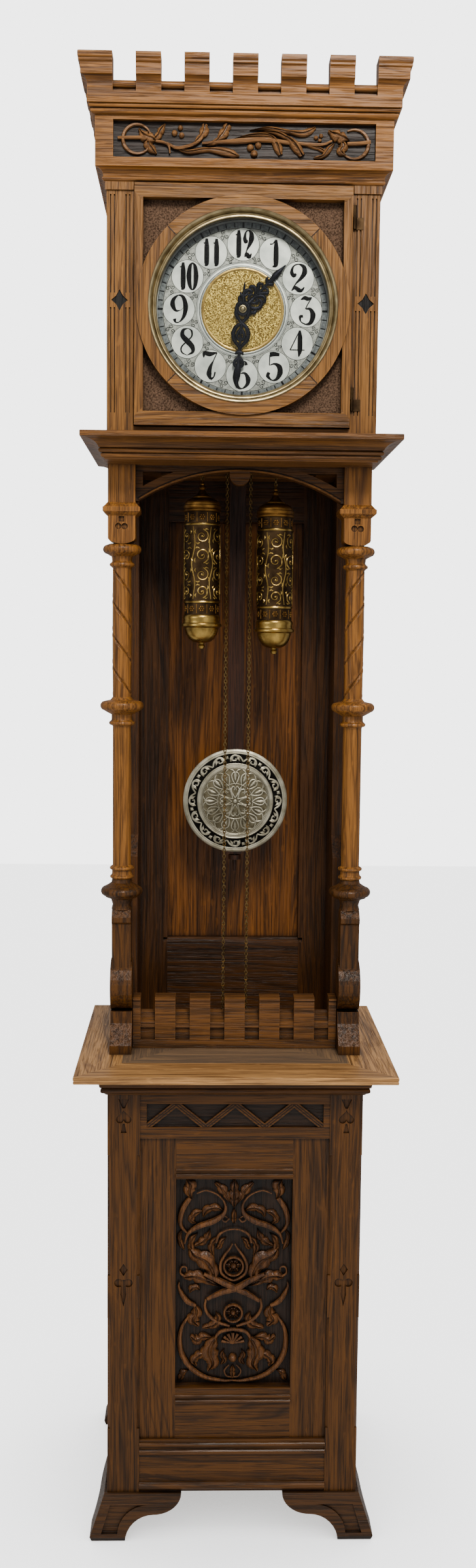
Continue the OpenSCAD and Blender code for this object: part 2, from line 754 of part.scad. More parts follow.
module dial()
    color(silver_tone) difference() {
        union() {
            rod_y(0, dial_z, dial_r, dial_y, dial_y + dial_t);
            for (a = [45, 165, 285])
                rod_y(100 * cos(a) * 0.7, dial_z + 100 * sin(a) * 0.7, 3, dial_y + 1, plate_front_y);
        }
        rod_y(0, dial_z, centre_r, dial_y - 1, dial_y + 1);
        rod_y(0, dial_z, pipe_r + run_gap, dial_y - 1, dial_y + 5);
    }

module dial_centre()
    color(brass_tone) difference() {
        rod_y(0, dial_z, centre_r, dial_y, dial_y + 1);
        rod_y(0, dial_z, pipe_r + run_gap, dial_y - 1, dial_y + 5);
    }

module hand_shape(length, width, tail)
    polygon([[-1.5, -tail], [1.5, -tail], [width / 3, -6], [width / 2, length * 0.22], [width / 5, length * 0.5],
        [width / 4, length * 0.62], [2, length * 0.8], [0, length], [-2, length * 0.8],
        [-width / 4, length * 0.62], [-width / 5, length * 0.5], [-width / 2, length * 0.22], [-width / 3, -6]]);

hour_angle = 44;
minute_angle = 184;
hand_t = 1.2;
hour_y = dial_y - 5;
minute_y = dial_y - 9;

module hour_hand()
    color(dark_tone) difference() {
        union() {
            translate([0, 0, dial_z]) rotate([0, hour_angle, 0])
                plate_xz(hour_y, hour_y + hand_t) hand_shape(hour_len, 30, 9);
            rod_y(0, dial_z, pipe_r, hour_y, dial_y + 12);
            rod_y(0, dial_z, 9, hour_y, hour_y + hand_t);
        }
        rod_y(0, dial_z, arbor_r + run_gap, hour_y - 1, dial_y + 13);
    }

module minute_hand()
    color(dark_tone) {
        translate([0, 0, dial_z]) rotate([0, minute_angle, 0])
            plate_xz(minute_y, minute_y + hand_t) hand_shape(minute_len, 22, 42);
        rod_y(0, dial_z, 8, minute_y, minute_y + hand_t);
        rod_y(0, dial_z, 5, minute_y - 3, minute_y + tiny);
        rod_y(0, dial_z, arbor_r, minute_y, plate_back_y + plate_t + 2);
        rod_y(0, dial_z, 25, plate_front_y + 22, plate_front_y + 24);
    }

// ---------------------------------------------------------------- works
great_r = 30;
great_t = 3;
left_wheel_y = plate_front_y + 12;
right_wheel_y = plate_front_y + 28;

// A slot through the seat board, so that a great wheel can dip into it.
module wheel_slot(x, y)
    block(x - great_r, x + great_r, y - 2, y + great_t + 2, seat_z - 1, seat_z + seat_t + 1);

module works_frame()
    color(brass_tone) difference() {
        union() {
            for (y = [plate_front_y, plate_back_y])
                block(-plate_half, plate_half, y, y + plate_t, seat_z + seat_t, plate_top_z);
            for (x = [-1, 1], z = [seat_z + seat_t + 12, plate_top_z - 12])
                rod_y(x * (plate_half - 9), z, 5, plate_front_y, plate_back_y + plate_t);
            block(-half_hood + board_t, half_hood - board_t, plate_front_y - 12, plate_back_y + 20,
                seat_z, seat_z + seat_t);
            block(-14, 14, plate_back_y, pend_y + 14, pivot_z + 5, pivot_z + 11);
            for (y = [pend_y - 12, pend_y + 8])
                block(-8, 8, y, y + 4, pivot_z - 8, pivot_z + 6);
        }
        rod_y(0, dial_z, arbor_r + run_gap, plate_front_y - 1, plate_back_y + 9);
        rod_y(0, escape_z, arbor_r + run_gap, plate_front_y - 1, plate_back_y + 9);
        rod_y(0, pivot_z, arbor_r + run_gap, plate_front_y - 1, pend_y + 20);
        for (s = [-1, 1]) {
            rod_y(s * sprocket_x, sprocket_z, arbor_r + run_gap, plate_front_y - 1, plate_back_y + 9);
            for (x = [weight_x, weight_x - 2 * sprocket_r])
                translate([s * x, chain_y, seat_z - 1]) cylinder(r = 6, h = seat_t + 2);
        }
        wheel_slot(-sprocket_x, left_wheel_y);
        wheel_slot(sprocket_x, right_wheel_y);
    }

module sprocket(s, wheel_y)
    color(brass_tone) {
        rod_y(s * sprocket_x, sprocket_z, arbor_r, plate_front_y, plate_back_y + plate_t);
        rod_y(s * sprocket_x, sprocket_z, sprocket_r - chain_r - 1, chain_y - 4, chain_y + 4);
        rod_y(s * sprocket_x, sprocket_z, great_r, wheel_y, wheel_y + great_t);
    }

module sprocket_left() sprocket(-1, left_wheel_y);
module sprocket_right() sprocket(1, right_wheel_y);

module escape_wheel()
    color(brass_tone) {
        rod_y(0, escape_z, arbor_r, plate_front_y, plate_back_y + plate_t);
        translate([0, plate_front_y + 43, escape_z]) rotate([90, 0, 0]) linear_extrude(2)
            polygon([for (i = [0:59]) let (q = i % 2 ? escape_r : escape_r - 4) [q * cos(i * 6), q * sin(i * 6)]]);
    }

crutch_len = 95;

module anchor()
    color(steel_tone) {
        rod_y(0, pivot_z, arbor_r, plate_front_y, plate_back_y + plate_t + 10);
        plate_xz(plate_front_y + 40, plate_front_y + 44) polygon([
            [-4, pivot_z + 5], [4, pivot_z + 5], [24, pivot_z - 24], [22, pivot_z - 27], [19, pivot_z - 25],
            [3, pivot_z - 6], [-3, pivot_z - 6], [-19, pivot_z - 25], [-22, pivot_z - 27], [-24, pivot_z - 24]]);
        block(-3, 3, plate_back_y + plate_t + 2, plate_back_y + plate_t + 5, pivot_z - crutch_len, pivot_z + 2);
        block(-rod_w / 2 - 5, rod_w / 2 + 5, plate_back_y + plate_t + 2, plate_back_y + plate_t + 5,
            pivot_z - crutch_len - 6, pivot_z - crutch_len);
        for (s = [-1, 1])
            block(s > 0 ? rod_w / 2 + 1 : -rod_w / 2 - 5, s > 0 ? rod_w / 2 + 5 : -rod_w / 2 - 1,
                plate_back_y + plate_t + 5 - tiny, pend_y + 5,
                pivot_z - crutch_len - 6, pivot_z - crutch_len);
    }

rod_t = 8;
bob_t = 30;

module pendulum_rod()
    color(dark_oak) {
        rod_y(0, pivot_z, arbor_r, pend_y - 12, pend_y + 12);
        block(-4, 4, pend_y - 1, pend_y + 1, pivot_z - 34, pivot_z);
        block(-rod_w / 2, rod_w / 2, pend_y - rod_t / 2, pend_y + rod_t / 2, bob_z - bob_r - 3, pivot_z - 30);
        translate([0, pend_y, bob_z - bob_r - 34]) cylinder(r = 2.5, h = 34);
        translate([0, pend_y, bob_z - bob_r - 13]) cylinder(r = 11, h = 8);
    }

// Lens-shaped bob with a slot for the rod.
module bob() {
    rim = 3;
    color(silver_tone) difference() {
        translate([0, pend_y, bob_z]) rotate([-90, 0, 0]) rotate_extrude($fn = 128)
            polygon([[0, -bob_t / 2], [bob_r * 0.3, -bob_t / 2 + 1], [bob_r * 0.7, -bob_t / 2 + 6],
                [bob_r - 2, -rim], [bob_r, -rim + 1], [bob_r, rim - 1], [bob_r - 2, rim],
                [bob_r * 0.7, bob_t / 2 - 6], [bob_r * 0.3, bob_t / 2 - 1], [0, bob_t / 2]]);
        block(-rod_w / 2, rod_w / 2, pend_y - rod_t / 2, pend_y + rod_t / 2, bob_z - bob_r - 5, bob_z + bob_r + 5);
    }
}

// A drum weight with banded ends, a domed foot and a finial that takes the chain.
module weight(s, z) {
    r = weight_r;
    color(brass_tone) translate([s * weight_x, chain_y, z]) rotate_extrude($fn = 64)
        polygon([[0, -255], [5, -254], [6, -250], [4, -246], [14, -243], [23, -236], [27, -226], [30, -217],
            [r + 4.5, -215], [r + 4.5, -211], [r + 1, -206], [r + 1, -199], [r - 1, -197], [r - 1, -177],
            [r, -175], [r, -46], [r - 1, -44], [r - 1, -24], [r + 2, -21], [r + 2, -14], [r - 1, -11],
            [r - 4, -4], [17, 0], [10, 5], [7, 12], [4, 14], [5, 18], [4, 22], [2.5, 24], [2, finial_h], [0, finial_h]]);
}

module weight_left() weight(-1, weight_top_z);
module weight_right() weight(1, weight_top_z - strike_drop);

chain_end_z = table_z + 25;

module chain_run(x, z0, z1)
    translate([x, chain_y, z0]) cylinder(r = chain_r, h = z1 - z0, $fn = 12);

// Free runs of the two chains, with the end rings that hang behind the gallery.
module chain(s)
    color(brass_tone) {
        chain_run(s * (weight_x - 2 * sprocket_r), chain_end_z, sprocket_z);
        translate([s * (weight_x - 2 * sprocket_r), chain_y, chain_end_z - 7]) rotate([90, 0, 0])
            rotate_extrude($fn = 24) translate([7, 0]) circle(r = 1.2, $fn = 8);
    }

// The run above a weight, with its spare length held straight up inside the hood.
module weight_chain_left()
    color(brass_tone) chain_run(-weight_x, weight_top_z + finial_h, sprocket_z + weight_drop);

module weight_chain_right()
    color(brass_tone) chain_run(weight_x, weight_top_z - strike_drop + finial_h, sprocket_z + weight_drop);

module chain_left() chain(-1);
module chain_right() chain(1);

feet_front();
feet_back();
plinth_board();
stile_left();
stile_right();
case_side_left();
case_side_right();
case_back();
case_floor();
lattice_rail();
case_frame();
carved_panel();
table_moulding();
table_top();
gallery();
console_left();
console_right();
column_left();
column_right();
cap_left();
cap_right();
arch_board();
trunk_wall_left();
trunk_wall_right();
trunk_frame();
trunk_panel();
mid_cornice();
pilaster_left();
pilaster_right();
hood_side_left();
hood_side_right();
hood_back();
hood_rails();
bed_moulding();
frieze();
hood_top();
crown();
door_frame();
spandrel_plate();
bezel();
glass();
door_leaves();
case_leaves();
dial();
dial_centre();
hour_hand();
minute_hand();
works_frame();
sprocket_left();
sprocket_right();
escape_wheel();
anchor();
pendulum_rod();
bob();
weight_left();
weight_right();
weight_chain_left();
weight_chain_right();
chain_left();
chain_right();
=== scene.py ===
# %% [markdown]
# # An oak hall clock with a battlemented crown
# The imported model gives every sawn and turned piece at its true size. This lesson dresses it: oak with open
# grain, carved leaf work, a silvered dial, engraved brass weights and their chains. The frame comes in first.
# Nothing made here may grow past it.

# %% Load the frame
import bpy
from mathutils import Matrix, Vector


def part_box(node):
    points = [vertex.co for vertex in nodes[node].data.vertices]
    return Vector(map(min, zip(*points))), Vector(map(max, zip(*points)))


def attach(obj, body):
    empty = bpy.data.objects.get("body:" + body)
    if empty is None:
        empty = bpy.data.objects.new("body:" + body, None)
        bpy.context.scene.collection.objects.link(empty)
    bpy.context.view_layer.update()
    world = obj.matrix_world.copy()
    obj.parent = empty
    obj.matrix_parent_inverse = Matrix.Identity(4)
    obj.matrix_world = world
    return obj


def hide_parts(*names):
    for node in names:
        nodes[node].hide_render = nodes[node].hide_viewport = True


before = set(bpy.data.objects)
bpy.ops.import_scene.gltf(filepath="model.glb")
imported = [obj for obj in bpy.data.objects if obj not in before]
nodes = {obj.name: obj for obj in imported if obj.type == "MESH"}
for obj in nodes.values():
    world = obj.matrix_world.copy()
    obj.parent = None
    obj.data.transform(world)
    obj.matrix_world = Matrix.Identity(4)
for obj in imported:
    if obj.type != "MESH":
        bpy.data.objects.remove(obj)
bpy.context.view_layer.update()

import math

import bmesh
import bpy
from mathutils import Matrix, Vector

# %% [markdown]
# The clock is tall and narrow, so the camera stands at shoulder height a little to the left, tips down
# slightly, and leans by about half a degree, as a hand-held one does. A camera looks along its own -Z, so
# its three axes are built from the tilt, the turn and the lean, and go straight into its matrix.

# %% Camera
def shown(name, data):
    """A new object with this data, put in the scene."""
    made = bpy.data.objects.new(name, data)
    bpy.context.scene.collection.objects.link(made)
    return made


def stand_camera(place, tip_down, turn_right, lean, lens):
    forward = Vector((math.sin(turn_right), math.cos(turn_right), 0))
    right = Vector((math.cos(turn_right), -math.sin(turn_right), 0))
    ahead = forward * math.cos(tip_down) - Vector((0, 0, 1)) * math.sin(tip_down)
    up = Vector((0, 0, 1)) * math.cos(tip_down) + forward * math.sin(tip_down)
    across = right * math.cos(lean) + up * math.sin(lean)
    upward = up * math.cos(lean) - right * math.sin(lean)
    data = bpy.data.cameras.new("camera")
    data.lens, data.sensor_width = lens, 36
    camera = shown("camera", data)
    axes = Matrix((across, upward, -ahead)).transposed().to_4x4()
    camera.matrix_world = Matrix.Translation(place) @ axes
    bpy.context.scene.camera = camera
    return camera


camera = stand_camera(place=(-0.0575, -2.4045, 1.524), tip_down=0.1022, turn_right=0.0253, lean=0.0098,
                      lens=31.84)
print("camera stands", round(-camera.location.y, 2), "m in front, lens", camera.data.lens, "mm")

# %% [markdown]
# A finish is a small web of shader nodes. Writing it as sums keeps it readable, so one class wraps a socket
# and lets Python's own operators add the Math nodes, and a bench makes every other node through one method.

# %% Shader bench
class Wire:
    """A shader socket that does sums with numbers and with other wires."""
    def __init__(self, bench, socket):
        self.bench, self.socket = bench, socket

    def __abs__(self):
        return self.bench.maths("ABSOLUTE", self)


for operator, kind in (("add", "ADD"), ("sub", "SUBTRACT"), ("mul", "MULTIPLY"), ("gt", "GREATER_THAN"),
                       ("lt", "LESS_THAN")):
    setattr(Wire, f"__{operator}__", lambda self, other, kind=kind: self.bench.maths(kind, self, other))
    setattr(Wire, f"__r{operator}__", lambda self, other, kind=kind: self.bench.maths(kind, other, self))


class Bench:
    """Makes one material, node by node."""
    def __init__(self, name):
        self.finish = bpy.data.materials.new(name)
        self.finish.use_nodes = True
        self.tree = self.finish.node_tree
        self.tree.nodes.clear()
        self.place = self.node("ShaderNodeTexCoord", out="Object")

    def node(self, kind, settings=None, sockets=(), out=0):
        made = self.tree.nodes.new(kind)
        for key, value in (settings or {}).items():
            setattr(made, key, value)
        for key, value in (sockets.items() if isinstance(sockets, dict) else enumerate(sockets)):
            if isinstance(value, Wire):
                self.tree.links.new(value.socket, made.inputs[key])
            elif value is not None:
                made.inputs[key].default_value = value
        return Wire(self, made.outputs[out]) if made.outputs else None

    def maths(self, kind, *values):
        return self.node("ShaderNodeMath", {"operation": kind}, list(values))

    def step(self, value, low, high):
        return self.node("ShaderNodeMapRange", {"interpolation_type": "SMOOTHSTEP"},
                         {"Value": value, "From Min": low, "From Max": high})

    def mix(self, amount, a, b):
        return self.node("ShaderNodeMix", {"data_type": "RGBA"}, {0: amount, 6: a, 7: b}, out=2)

    def split(self, vector):
        parts = self.tree.nodes.new("ShaderNodeSeparateXYZ")
        self.tree.links.new(vector.socket, parts.inputs[0])
        return [Wire(self, parts.outputs[i]) for i in range(3)]

    def join(self, x, y, z):
        return self.node("ShaderNodeCombineXYZ", None, [x, y, z])

    def noise(self, place, scale, detail=3.0, rough=0.5):
        return self.node("ShaderNodeTexNoise", None,
                         {"Vector": place, "Scale": scale, "Detail": detail, "Roughness": rough})

    def done(self, colour, rough, metal=0.0, bump=None, depth=0.0005, coat=0.0, **more):
        sockets = {"Base Color": colour, "Roughness": rough, "Metallic": metal, "Coat Weight": coat, **more}
        if bump is not None:
            sockets["Normal"] = self.node("ShaderNodeBump", None,
                                          {"Strength": 1.0, "Distance": depth, "Height": bump})
        shader = self.node("ShaderNodeBsdfPrincipled", None, sockets)
        self.node("ShaderNodeOutputMaterial", None, [shader])
        return self.finish


def shade(red, green, blue):
    """A paint-chart colour, 0 to 255 a channel, as the linear colour a shader wants."""
    def linear(c):
        c /= 255
        return c / 12.92 if c <= 0.04045 else ((c + 0.055) / 1.055) ** 2.4
    return (linear(red), linear(green), linear(blue), 1.0)


def times(colour, share):
    """The same colour, paler or darker by this share."""
    return tuple(min(1.0, c * share) for c in colour[:3]) + (1.0,)

# %% [markdown]
# Oak shows long dark pores, broader bands of early and late wood, and pale flecks. All of them run with the
# grain, so the place on the board is squeezed along the grain before each noise reads it. Where a frame is
# joined, its rails run across: a mask swaps the two directions there. One term paints shade into hollows,
# nearly black, and one pales arrises where old polish rubs thin on edges.

# %% Oak
def grime_and_wear(bench, reach=0.016, arris=0.0016):
    """How hollow and how sharp the surface is here, each from 0 to 1."""
    hollow = bench.node("ShaderNodeAmbientOcclusion", {"samples": 4}, {"Distance": reach}, out="AO")
    soft = bench.node("ShaderNodeBevel", {"samples": 4}, {"Radius": arris})
    flat = bench.node("ShaderNodeNewGeometry", out="Normal")
    turn = bench.node("ShaderNodeVectorMath", {"operation": "DOT_PRODUCT"}, [soft, flat], out="Value")
    edge = bench.step(1.0 - turn, 0.02, 0.2) * bench.step(hollow, 0.55, 0.9)
    return 1.0 - bench.step(hollow, 0.2, 0.92), edge


def oak(name, pale, deep, grain="Z", seed=0.0, cross=None, hollow_shade=0.85, gloss=0.34, field=None,
        tone=(92, 84, 74)):
    bench = Bench(name)
    pale, deep = shade(*pale), shade(*deep)
    x, y, z = bench.split(bench.place)
    along, side, depth = {"Z": (z, x, y), "X": (x, z, y), "Y": (y, x, z), "top": (x, y, z)}[grain]
    if cross:
        turned = cross(bench, x, y, z)
        along, side = along + (side - along) * turned, side + (along - side) * turned
    warp = bench.noise(bench.join(side * 8 + seed, depth * 8, along * 1.1), 1.0, 2.0) - 0.5
    rings = bench.noise(bench.join(side * 34 + warp * 4 + seed, depth * 34, along * 1.0), 1.0, 4.0, 0.6)
    bands = abs(bench.maths("SINE", rings * 24.0 + warp * 5.0))
    pores = bench.noise(bench.join(side * 640 + seed, depth * 640, along * 15), 1.0, 2.0, 0.6)
    fine = bench.step(pores, 0.53, 0.66)
    streaks = bench.noise(bench.join(side * 230 + seed * 3, depth * 230, along * 3.6), 1.0, 4.0, 0.62)
    long_pores = bench.step(streaks, 0.47, 0.68)
    patches = bench.noise(bench.join(side * 9 + seed, depth * 9, along * 2.4), 1.0, 3.0)
    flecks = bench.step(bench.noise(bench.join(side * 120, depth * 120, along * 40 + seed), 1.0, 1.0), 0.63,
                        0.74)
    colour = bench.mix(bench.step(bands * 0.42 + patches * 0.8, 0.2, 0.95), deep, pale)
    colour = bench.mix(flecks * 0.3, colour, times(pale, 1.5))
    dark = times(deep, 0.2)
    colour = bench.mix(fine * 0.55, colour, dark)
    colour = bench.mix(long_pores * 0.62, colour, dark)
    # A field mask mixes in another tone: grey on the table's inner board, painted shade in the feet's
    # pockets.
    if field:
        colour = bench.mix(field(bench, x, y, z) * 0.7, colour, shade(*tone))
    hollow, edge = grime_and_wear(bench)
    colour = bench.mix(edge * 0.4, colour, times(pale, 1.9))
    # Painted shade: the hollows are darkened nearly to black.
    colour = bench.mix(hollow * hollow_shade, colour, times(dark, 0.25))
    height = 0.0 - fine * 0.6 - long_pores * 0.8 + bands * 0.1
    return bench.done(colour, gloss + fine * 0.2 + patches * 0.1 + edge * 0.12, bump=height, depth=0.0004,
                      coat=0.04, **{"Specular IOR Level": 0.28})


def rails_between(half):
    """Grain turns level inside this half width, where the rails run between two stiles."""
    return lambda bench, x, y, z: abs(x) < half


def mitred(centre):
    """Grain turns level above and below the 45 degree joints round this height."""
    return lambda bench, x, y, z: abs(x) < abs(z - centre)


def mitred_top(half, front):
    """Grain turns to run front to back beyond the mitres at the table's two front corners."""
    return lambda bench, x, y, z: (half - abs(x)) < (y - front)


def inner_field(half, front, back):
    """The board inside the table's border, which is mixed toward grey."""
    def mask(bench, x, y, z):
        return (abs(x) < half) * (y > front) * (y < back)
    return mask


def foot_pocket(front, top, slope):
    """The sunk face of a bracket foot, a little way behind the sloping front, where shade is painted."""
    def mask(bench, x, y, z):
        behind = y - front + (top - z) * slope
        return (behind > 0.0017) * (behind < 0.0034) * (z < top - 0.012)
    return mask


dial_low, dial_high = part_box("dial")
dial_z = (dial_low[2] + dial_high[2]) / 2
HONEY = (148, 99, 42), (82, 51, 20)
GOLDEN = (156, 101, 40), (84, 50, 16)
CORNICE = (132, 85, 36), (68, 41, 16)
DUSK = (116, 74, 33), (58, 36, 14)
BROWN = (95, 57, 15), (44, 25, 6)
SHADOW = (130, 76, 20), (58, 32, 7)
GLOOM = (78, 45, 13), (38, 21, 6)
GROUND = (44, 27, 14), (22, 14, 8)
table_low, table_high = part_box("table_top")
foot_low, foot_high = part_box("feet_front")

brown_up = oak("brown_upright", *BROWN, "Z", 1.0)
brown_level = oak("brown_level", *BROWN, "X", 2.0)
brown_frame = oak("brown_frame", *BROWN, "Z", 4.0, rails_between(0.0975))
# The feet's sunk pockets are mixed toward near black: painted shade.
feet_oak = oak("feet_oak", (80, 50, 22), (38, 23, 9), "X", 19.0, tone=(26, 16, 10),
               field=foot_pocket(foot_low[1] + 0.012, foot_high[2], 12 / 71))
table_oak = oak("table_oak", (206, 152, 92), (124, 84, 44), "top", 3.0,
                mitred_top(table_high[0], table_low[1]),
                field=inner_field(table_high[0] - 0.074, table_low[1] + 0.078, 0.3))
honey_up = oak("honey_upright", *HONEY, "Z", 5.0)
honey_door = oak("honey_door", *HONEY, "Z", 7.0, mitred(dial_z))
golden_up = oak("golden_upright", *GOLDEN, "Z", 11.0)
golden_level = oak("golden_level", *GOLDEN, "X", 6.0)
shadow_up = oak("shaded_upright", *SHADOW, "Z", 8.0)
shadow_frame = oak("shaded_frame", *GLOOM, "Z", 10.0, rails_between(0.122))
gloom_up = oak("gloomy_upright", *GLOOM, "Z", 15.0)
dusk_level = oak("dusky_level", *DUSK, "X", 16.0)
cornice_level = oak("cornice_level", *CORNICE, "X", 22.0)
ground_oak = oak("carving_ground", *GROUND, "Z", 12.0)
print("oak finishes made; the dial stands", round(dial_z, 3), "m up")

# %% [markdown]
# Polished brass is never even: it clouds, and tarnish browns it in the hollows. The dial and the bob are
# silvered, which is a chalky white metal rubbed on by hand. The hands are blued so dark that they look
# black.

# %% Metals and glass
def metal(name, bright, dull, rough=0.28, grain=60.0, tarnish=0.6, depth=0.00008):
    bench = Bench(name)
    bright, dull = shade(*bright), shade(*dull)
    cloud = bench.noise(bench.place, grain, 4.0)
    scratch = bench.noise(bench.place, grain * 18, 2.0)
    hollow, edge = grime_and_wear(bench, 0.008, 0.0008)
    colour = bench.mix(bench.step(cloud, 0.3, 0.75), bright, dull)
    colour = bench.mix(hollow * tarnish, colour, times(dull, 0.12))
    colour = bench.mix(edge * 0.4, colour, times(bright, 1.3))
    return bench.done(colour, rough + cloud * 0.14 + hollow * 0.2, metal=1.0, bump=cloud + scratch * 0.4,
                      depth=depth)


def stippled(name, bright, pit, scale, rough=0.34, depth=0.0005):
    """Sheet metal struck all over with a punch: bright skin and dark pits."""
    bench = Bench(name)
    bright, pit = shade(*bright), shade(*pit)
    dots = bench.noise(bench.place, scale, 2.0, 0.6)
    cloud = bench.noise(bench.place, 22.0, 2.0)
    pits = bench.step(dots, 0.44, 0.6)
    hollow, edge = grime_and_wear(bench, 0.006, 0.0008)
    colour = bench.mix(pits, bright, pit)
    colour = bench.mix(bench.step(cloud, 0.35, 0.7) * 0.3, colour, times(bright, 0.6))
    colour = bench.mix(hollow * 0.4, colour, pit)
    return bench.done(colour, rough + pits * 0.3 - edge * 0.1, metal=1.0, bump=0.0 - pits, depth=depth)


brass = metal("polished_brass", (190, 156, 84), (118, 92, 46), 0.22)
pale_brass = metal("bezel_brass", (178, 160, 120), (120, 104, 72), 0.26)
old_brass = metal("old_brass", (150, 108, 52), (92, 62, 28), 0.36)
bronze = metal("dark_bronze", (78, 60, 40), (40, 29, 20), 0.4)
silver = metal("silvered", (214, 214, 206), (176, 178, 172), 0.42, 40.0, 0.5)
grey_silver = metal("dial_field", (168, 168, 160), (128, 128, 122), 0.45, 300.0, 0.5)
old_silver = metal("bob_silver", (196, 190, 168), (140, 134, 112), 0.4, 50.0, 0.9)
gilt_ground = stippled("stippled_gilt", (238, 202, 104), (116, 88, 34), 620.0)
spandrel_metal = metal("stippled_dark", (124, 98, 78), (54, 42, 34), 0.55, 420.0, 0.5, 0.0006)
blued = metal("blued_steel", (30, 30, 36), (13, 13, 16), 0.3)
steel = metal("works_steel", (150, 150, 150), (104, 104, 106), 0.3)
ink = metal("dial_wax", (20, 19, 18), (11, 11, 11), 0.6)


def clear_glass():
    bench = Bench("door_glass")
    smear = bench.noise(bench.place, 9.0, 4.0)
    clear = bench.node("ShaderNodeBsdfTransparent", None, [(0.97, 0.985, 0.98, 1.0)])
    sheen = bench.node("ShaderNodeBsdfGlossy", None, {"Color": (1, 1, 1, 1), "Roughness": 0.05})
    fresnel = bench.node("ShaderNodeFresnel", None, {"IOR": 1.3})
    mixed = bench.node("ShaderNodeMixShader", None, {0: fresnel * 0.5 + smear * 0.02, 1: clear, 2: sheen})
    bench.node("ShaderNodeOutputMaterial", None, [mixed])
    return bench.finish


glass_finish = clear_glass()

# %% [markdown]
# Each wooden piece takes the oak whose grain runs the way its board was sawn. Pieces that are turned,
# pierced or engraved are made again further on, and stand for the plain ones.

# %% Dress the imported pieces
def dress(names, finish):
    for name in names.split():
        for slot in nodes[name].material_slots:
            slot.material = finish


dress("feet_front feet_back", feet_oak)
dress("plinth_board lattice_rail table_moulding case_floor arch_board", brown_level)
dress("stile_left stile_right case_side_left case_side_right console_left console_right", brown_up)
dress("case_frame", brown_frame)
dress("carved_panel", ground_oak)
dress("table_top", table_oak)
dress("bed_moulding frieze crown cap_left cap_right hood_rails", golden_level)
dress("mid_cornice", cornice_level)
dress("gallery", dusk_level)
dress("column_left column_right hood_side_left hood_side_right", golden_up)
dress("pilaster_left pilaster_right", honey_up)
dress("door_frame", honey_door)
dress("case_back hood_back hood_top trunk_panel", shadow_up)
dress("trunk_wall_left trunk_wall_right", gloom_up)
dress("trunk_frame", shadow_frame)
dress("spandrel_plate", spandrel_metal)
dress("bezel weight_left weight_right", brass)
dress("door_leaves case_leaves", bronze)
dress("weight_chain_left weight_chain_right chain_left chain_right", old_brass)
dress("works_frame sprocket_left sprocket_right escape_wheel", old_brass)
dress("glass", glass_finish)
dress("dial bob", silver)
dress("dial_centre", gilt_ground)
dress("hour_hand minute_hand", blued)
dress("anchor", steel)
dress("pendulum_rod", oak("rod_oak", (58, 30, 12), (30, 15, 6), "Z", 18.0))
print("dressed", sum(1 for n in nodes.values() if n.material_slots), "pieces")

# %% [markdown]
# Carved work grows from three strokes of the gouge: a rounded stem that follows a line, a lobed leaf with a
# hollowed midrib, and a berry. They're drawn flat, as a carver draws on the board, in millimetres across
# and up, and a placing rule lays them on a panel, round a drum or over a domed disc.

# %% Carving tools
MM = 0.001


def along_curve(points):
    """A smooth line through the points, as a function of a share from 0 to 1."""
    ends = [[2 * a - b for a, b in zip(points[0], points[1])]] + list(points)
    ends.append([2 * a - b for a, b in zip(points[-1], points[-2])])

    def at(share):
        span = min(max(share, 0.0), 1.0) * (len(points) - 1)
        i = min(int(span), len(points) - 2)
        t = span - i
        p0, p1, p2, p3 = ends[i:i + 4]
        return tuple(0.5 * (2 * b + (c - a) * t + (2 * a - 5 * b + 4 * c - d) * t * t
                            + (3 * b - a - 3 * c + d) * t ** 3)
                     for a, b, c, d in zip(p0, p1, p2, p3))
    return at


def between(values, share):
    """The value at this share of an evenly spaced list."""
    if not hasattr(values, "__len__"):
        return values
    span = share * (len(values) - 1)
    i = min(int(span), len(values) - 2)
    return values[i] + (values[i + 1] - values[i]) * (span - i)


def on_panel(y, x=0.0, z=0.0, turn=0.0):
    """Lays drawing millimetres on an upright face that looks forward."""
    c, s = math.cos(turn), math.sin(turn)
    return lambda a, b, h: (x + (a * c + b * s) * MM, y - h * MM, z + (b * c - a * s) * MM)


def on_drum(x, y, z, radius):
    """Wraps drawing millimetres round an upright drum; a is measured round the shell from the front."""
    def place(a, b, h):
        angle = a / radius - math.pi / 2
        reach = (radius + h) * MM
        return (x + reach * math.cos(angle), y + reach * math.sin(angle), z + b * MM)
    return place


def bridge(bm, rows, ring=False):
    """Joins rows of points with faces; the two ends are capped, or in a ring meet each other."""
    made = [[bm.verts.new(point) for point in row] for row in rows]
    for low, high in zip(made, made[1:] + (made[:1] if ring else [])):
        for k in range(len(low)):
            n = (k + 1) % len(low)
            bm.faces.new((low[k], low[n], high[n], high[k]))
    if not ring:
        bm.faces.new(made[0][::-1])
        bm.faces.new(made[-1])


def round_angles(count):
    return [2 * math.pi * k / count for k in range(count)]


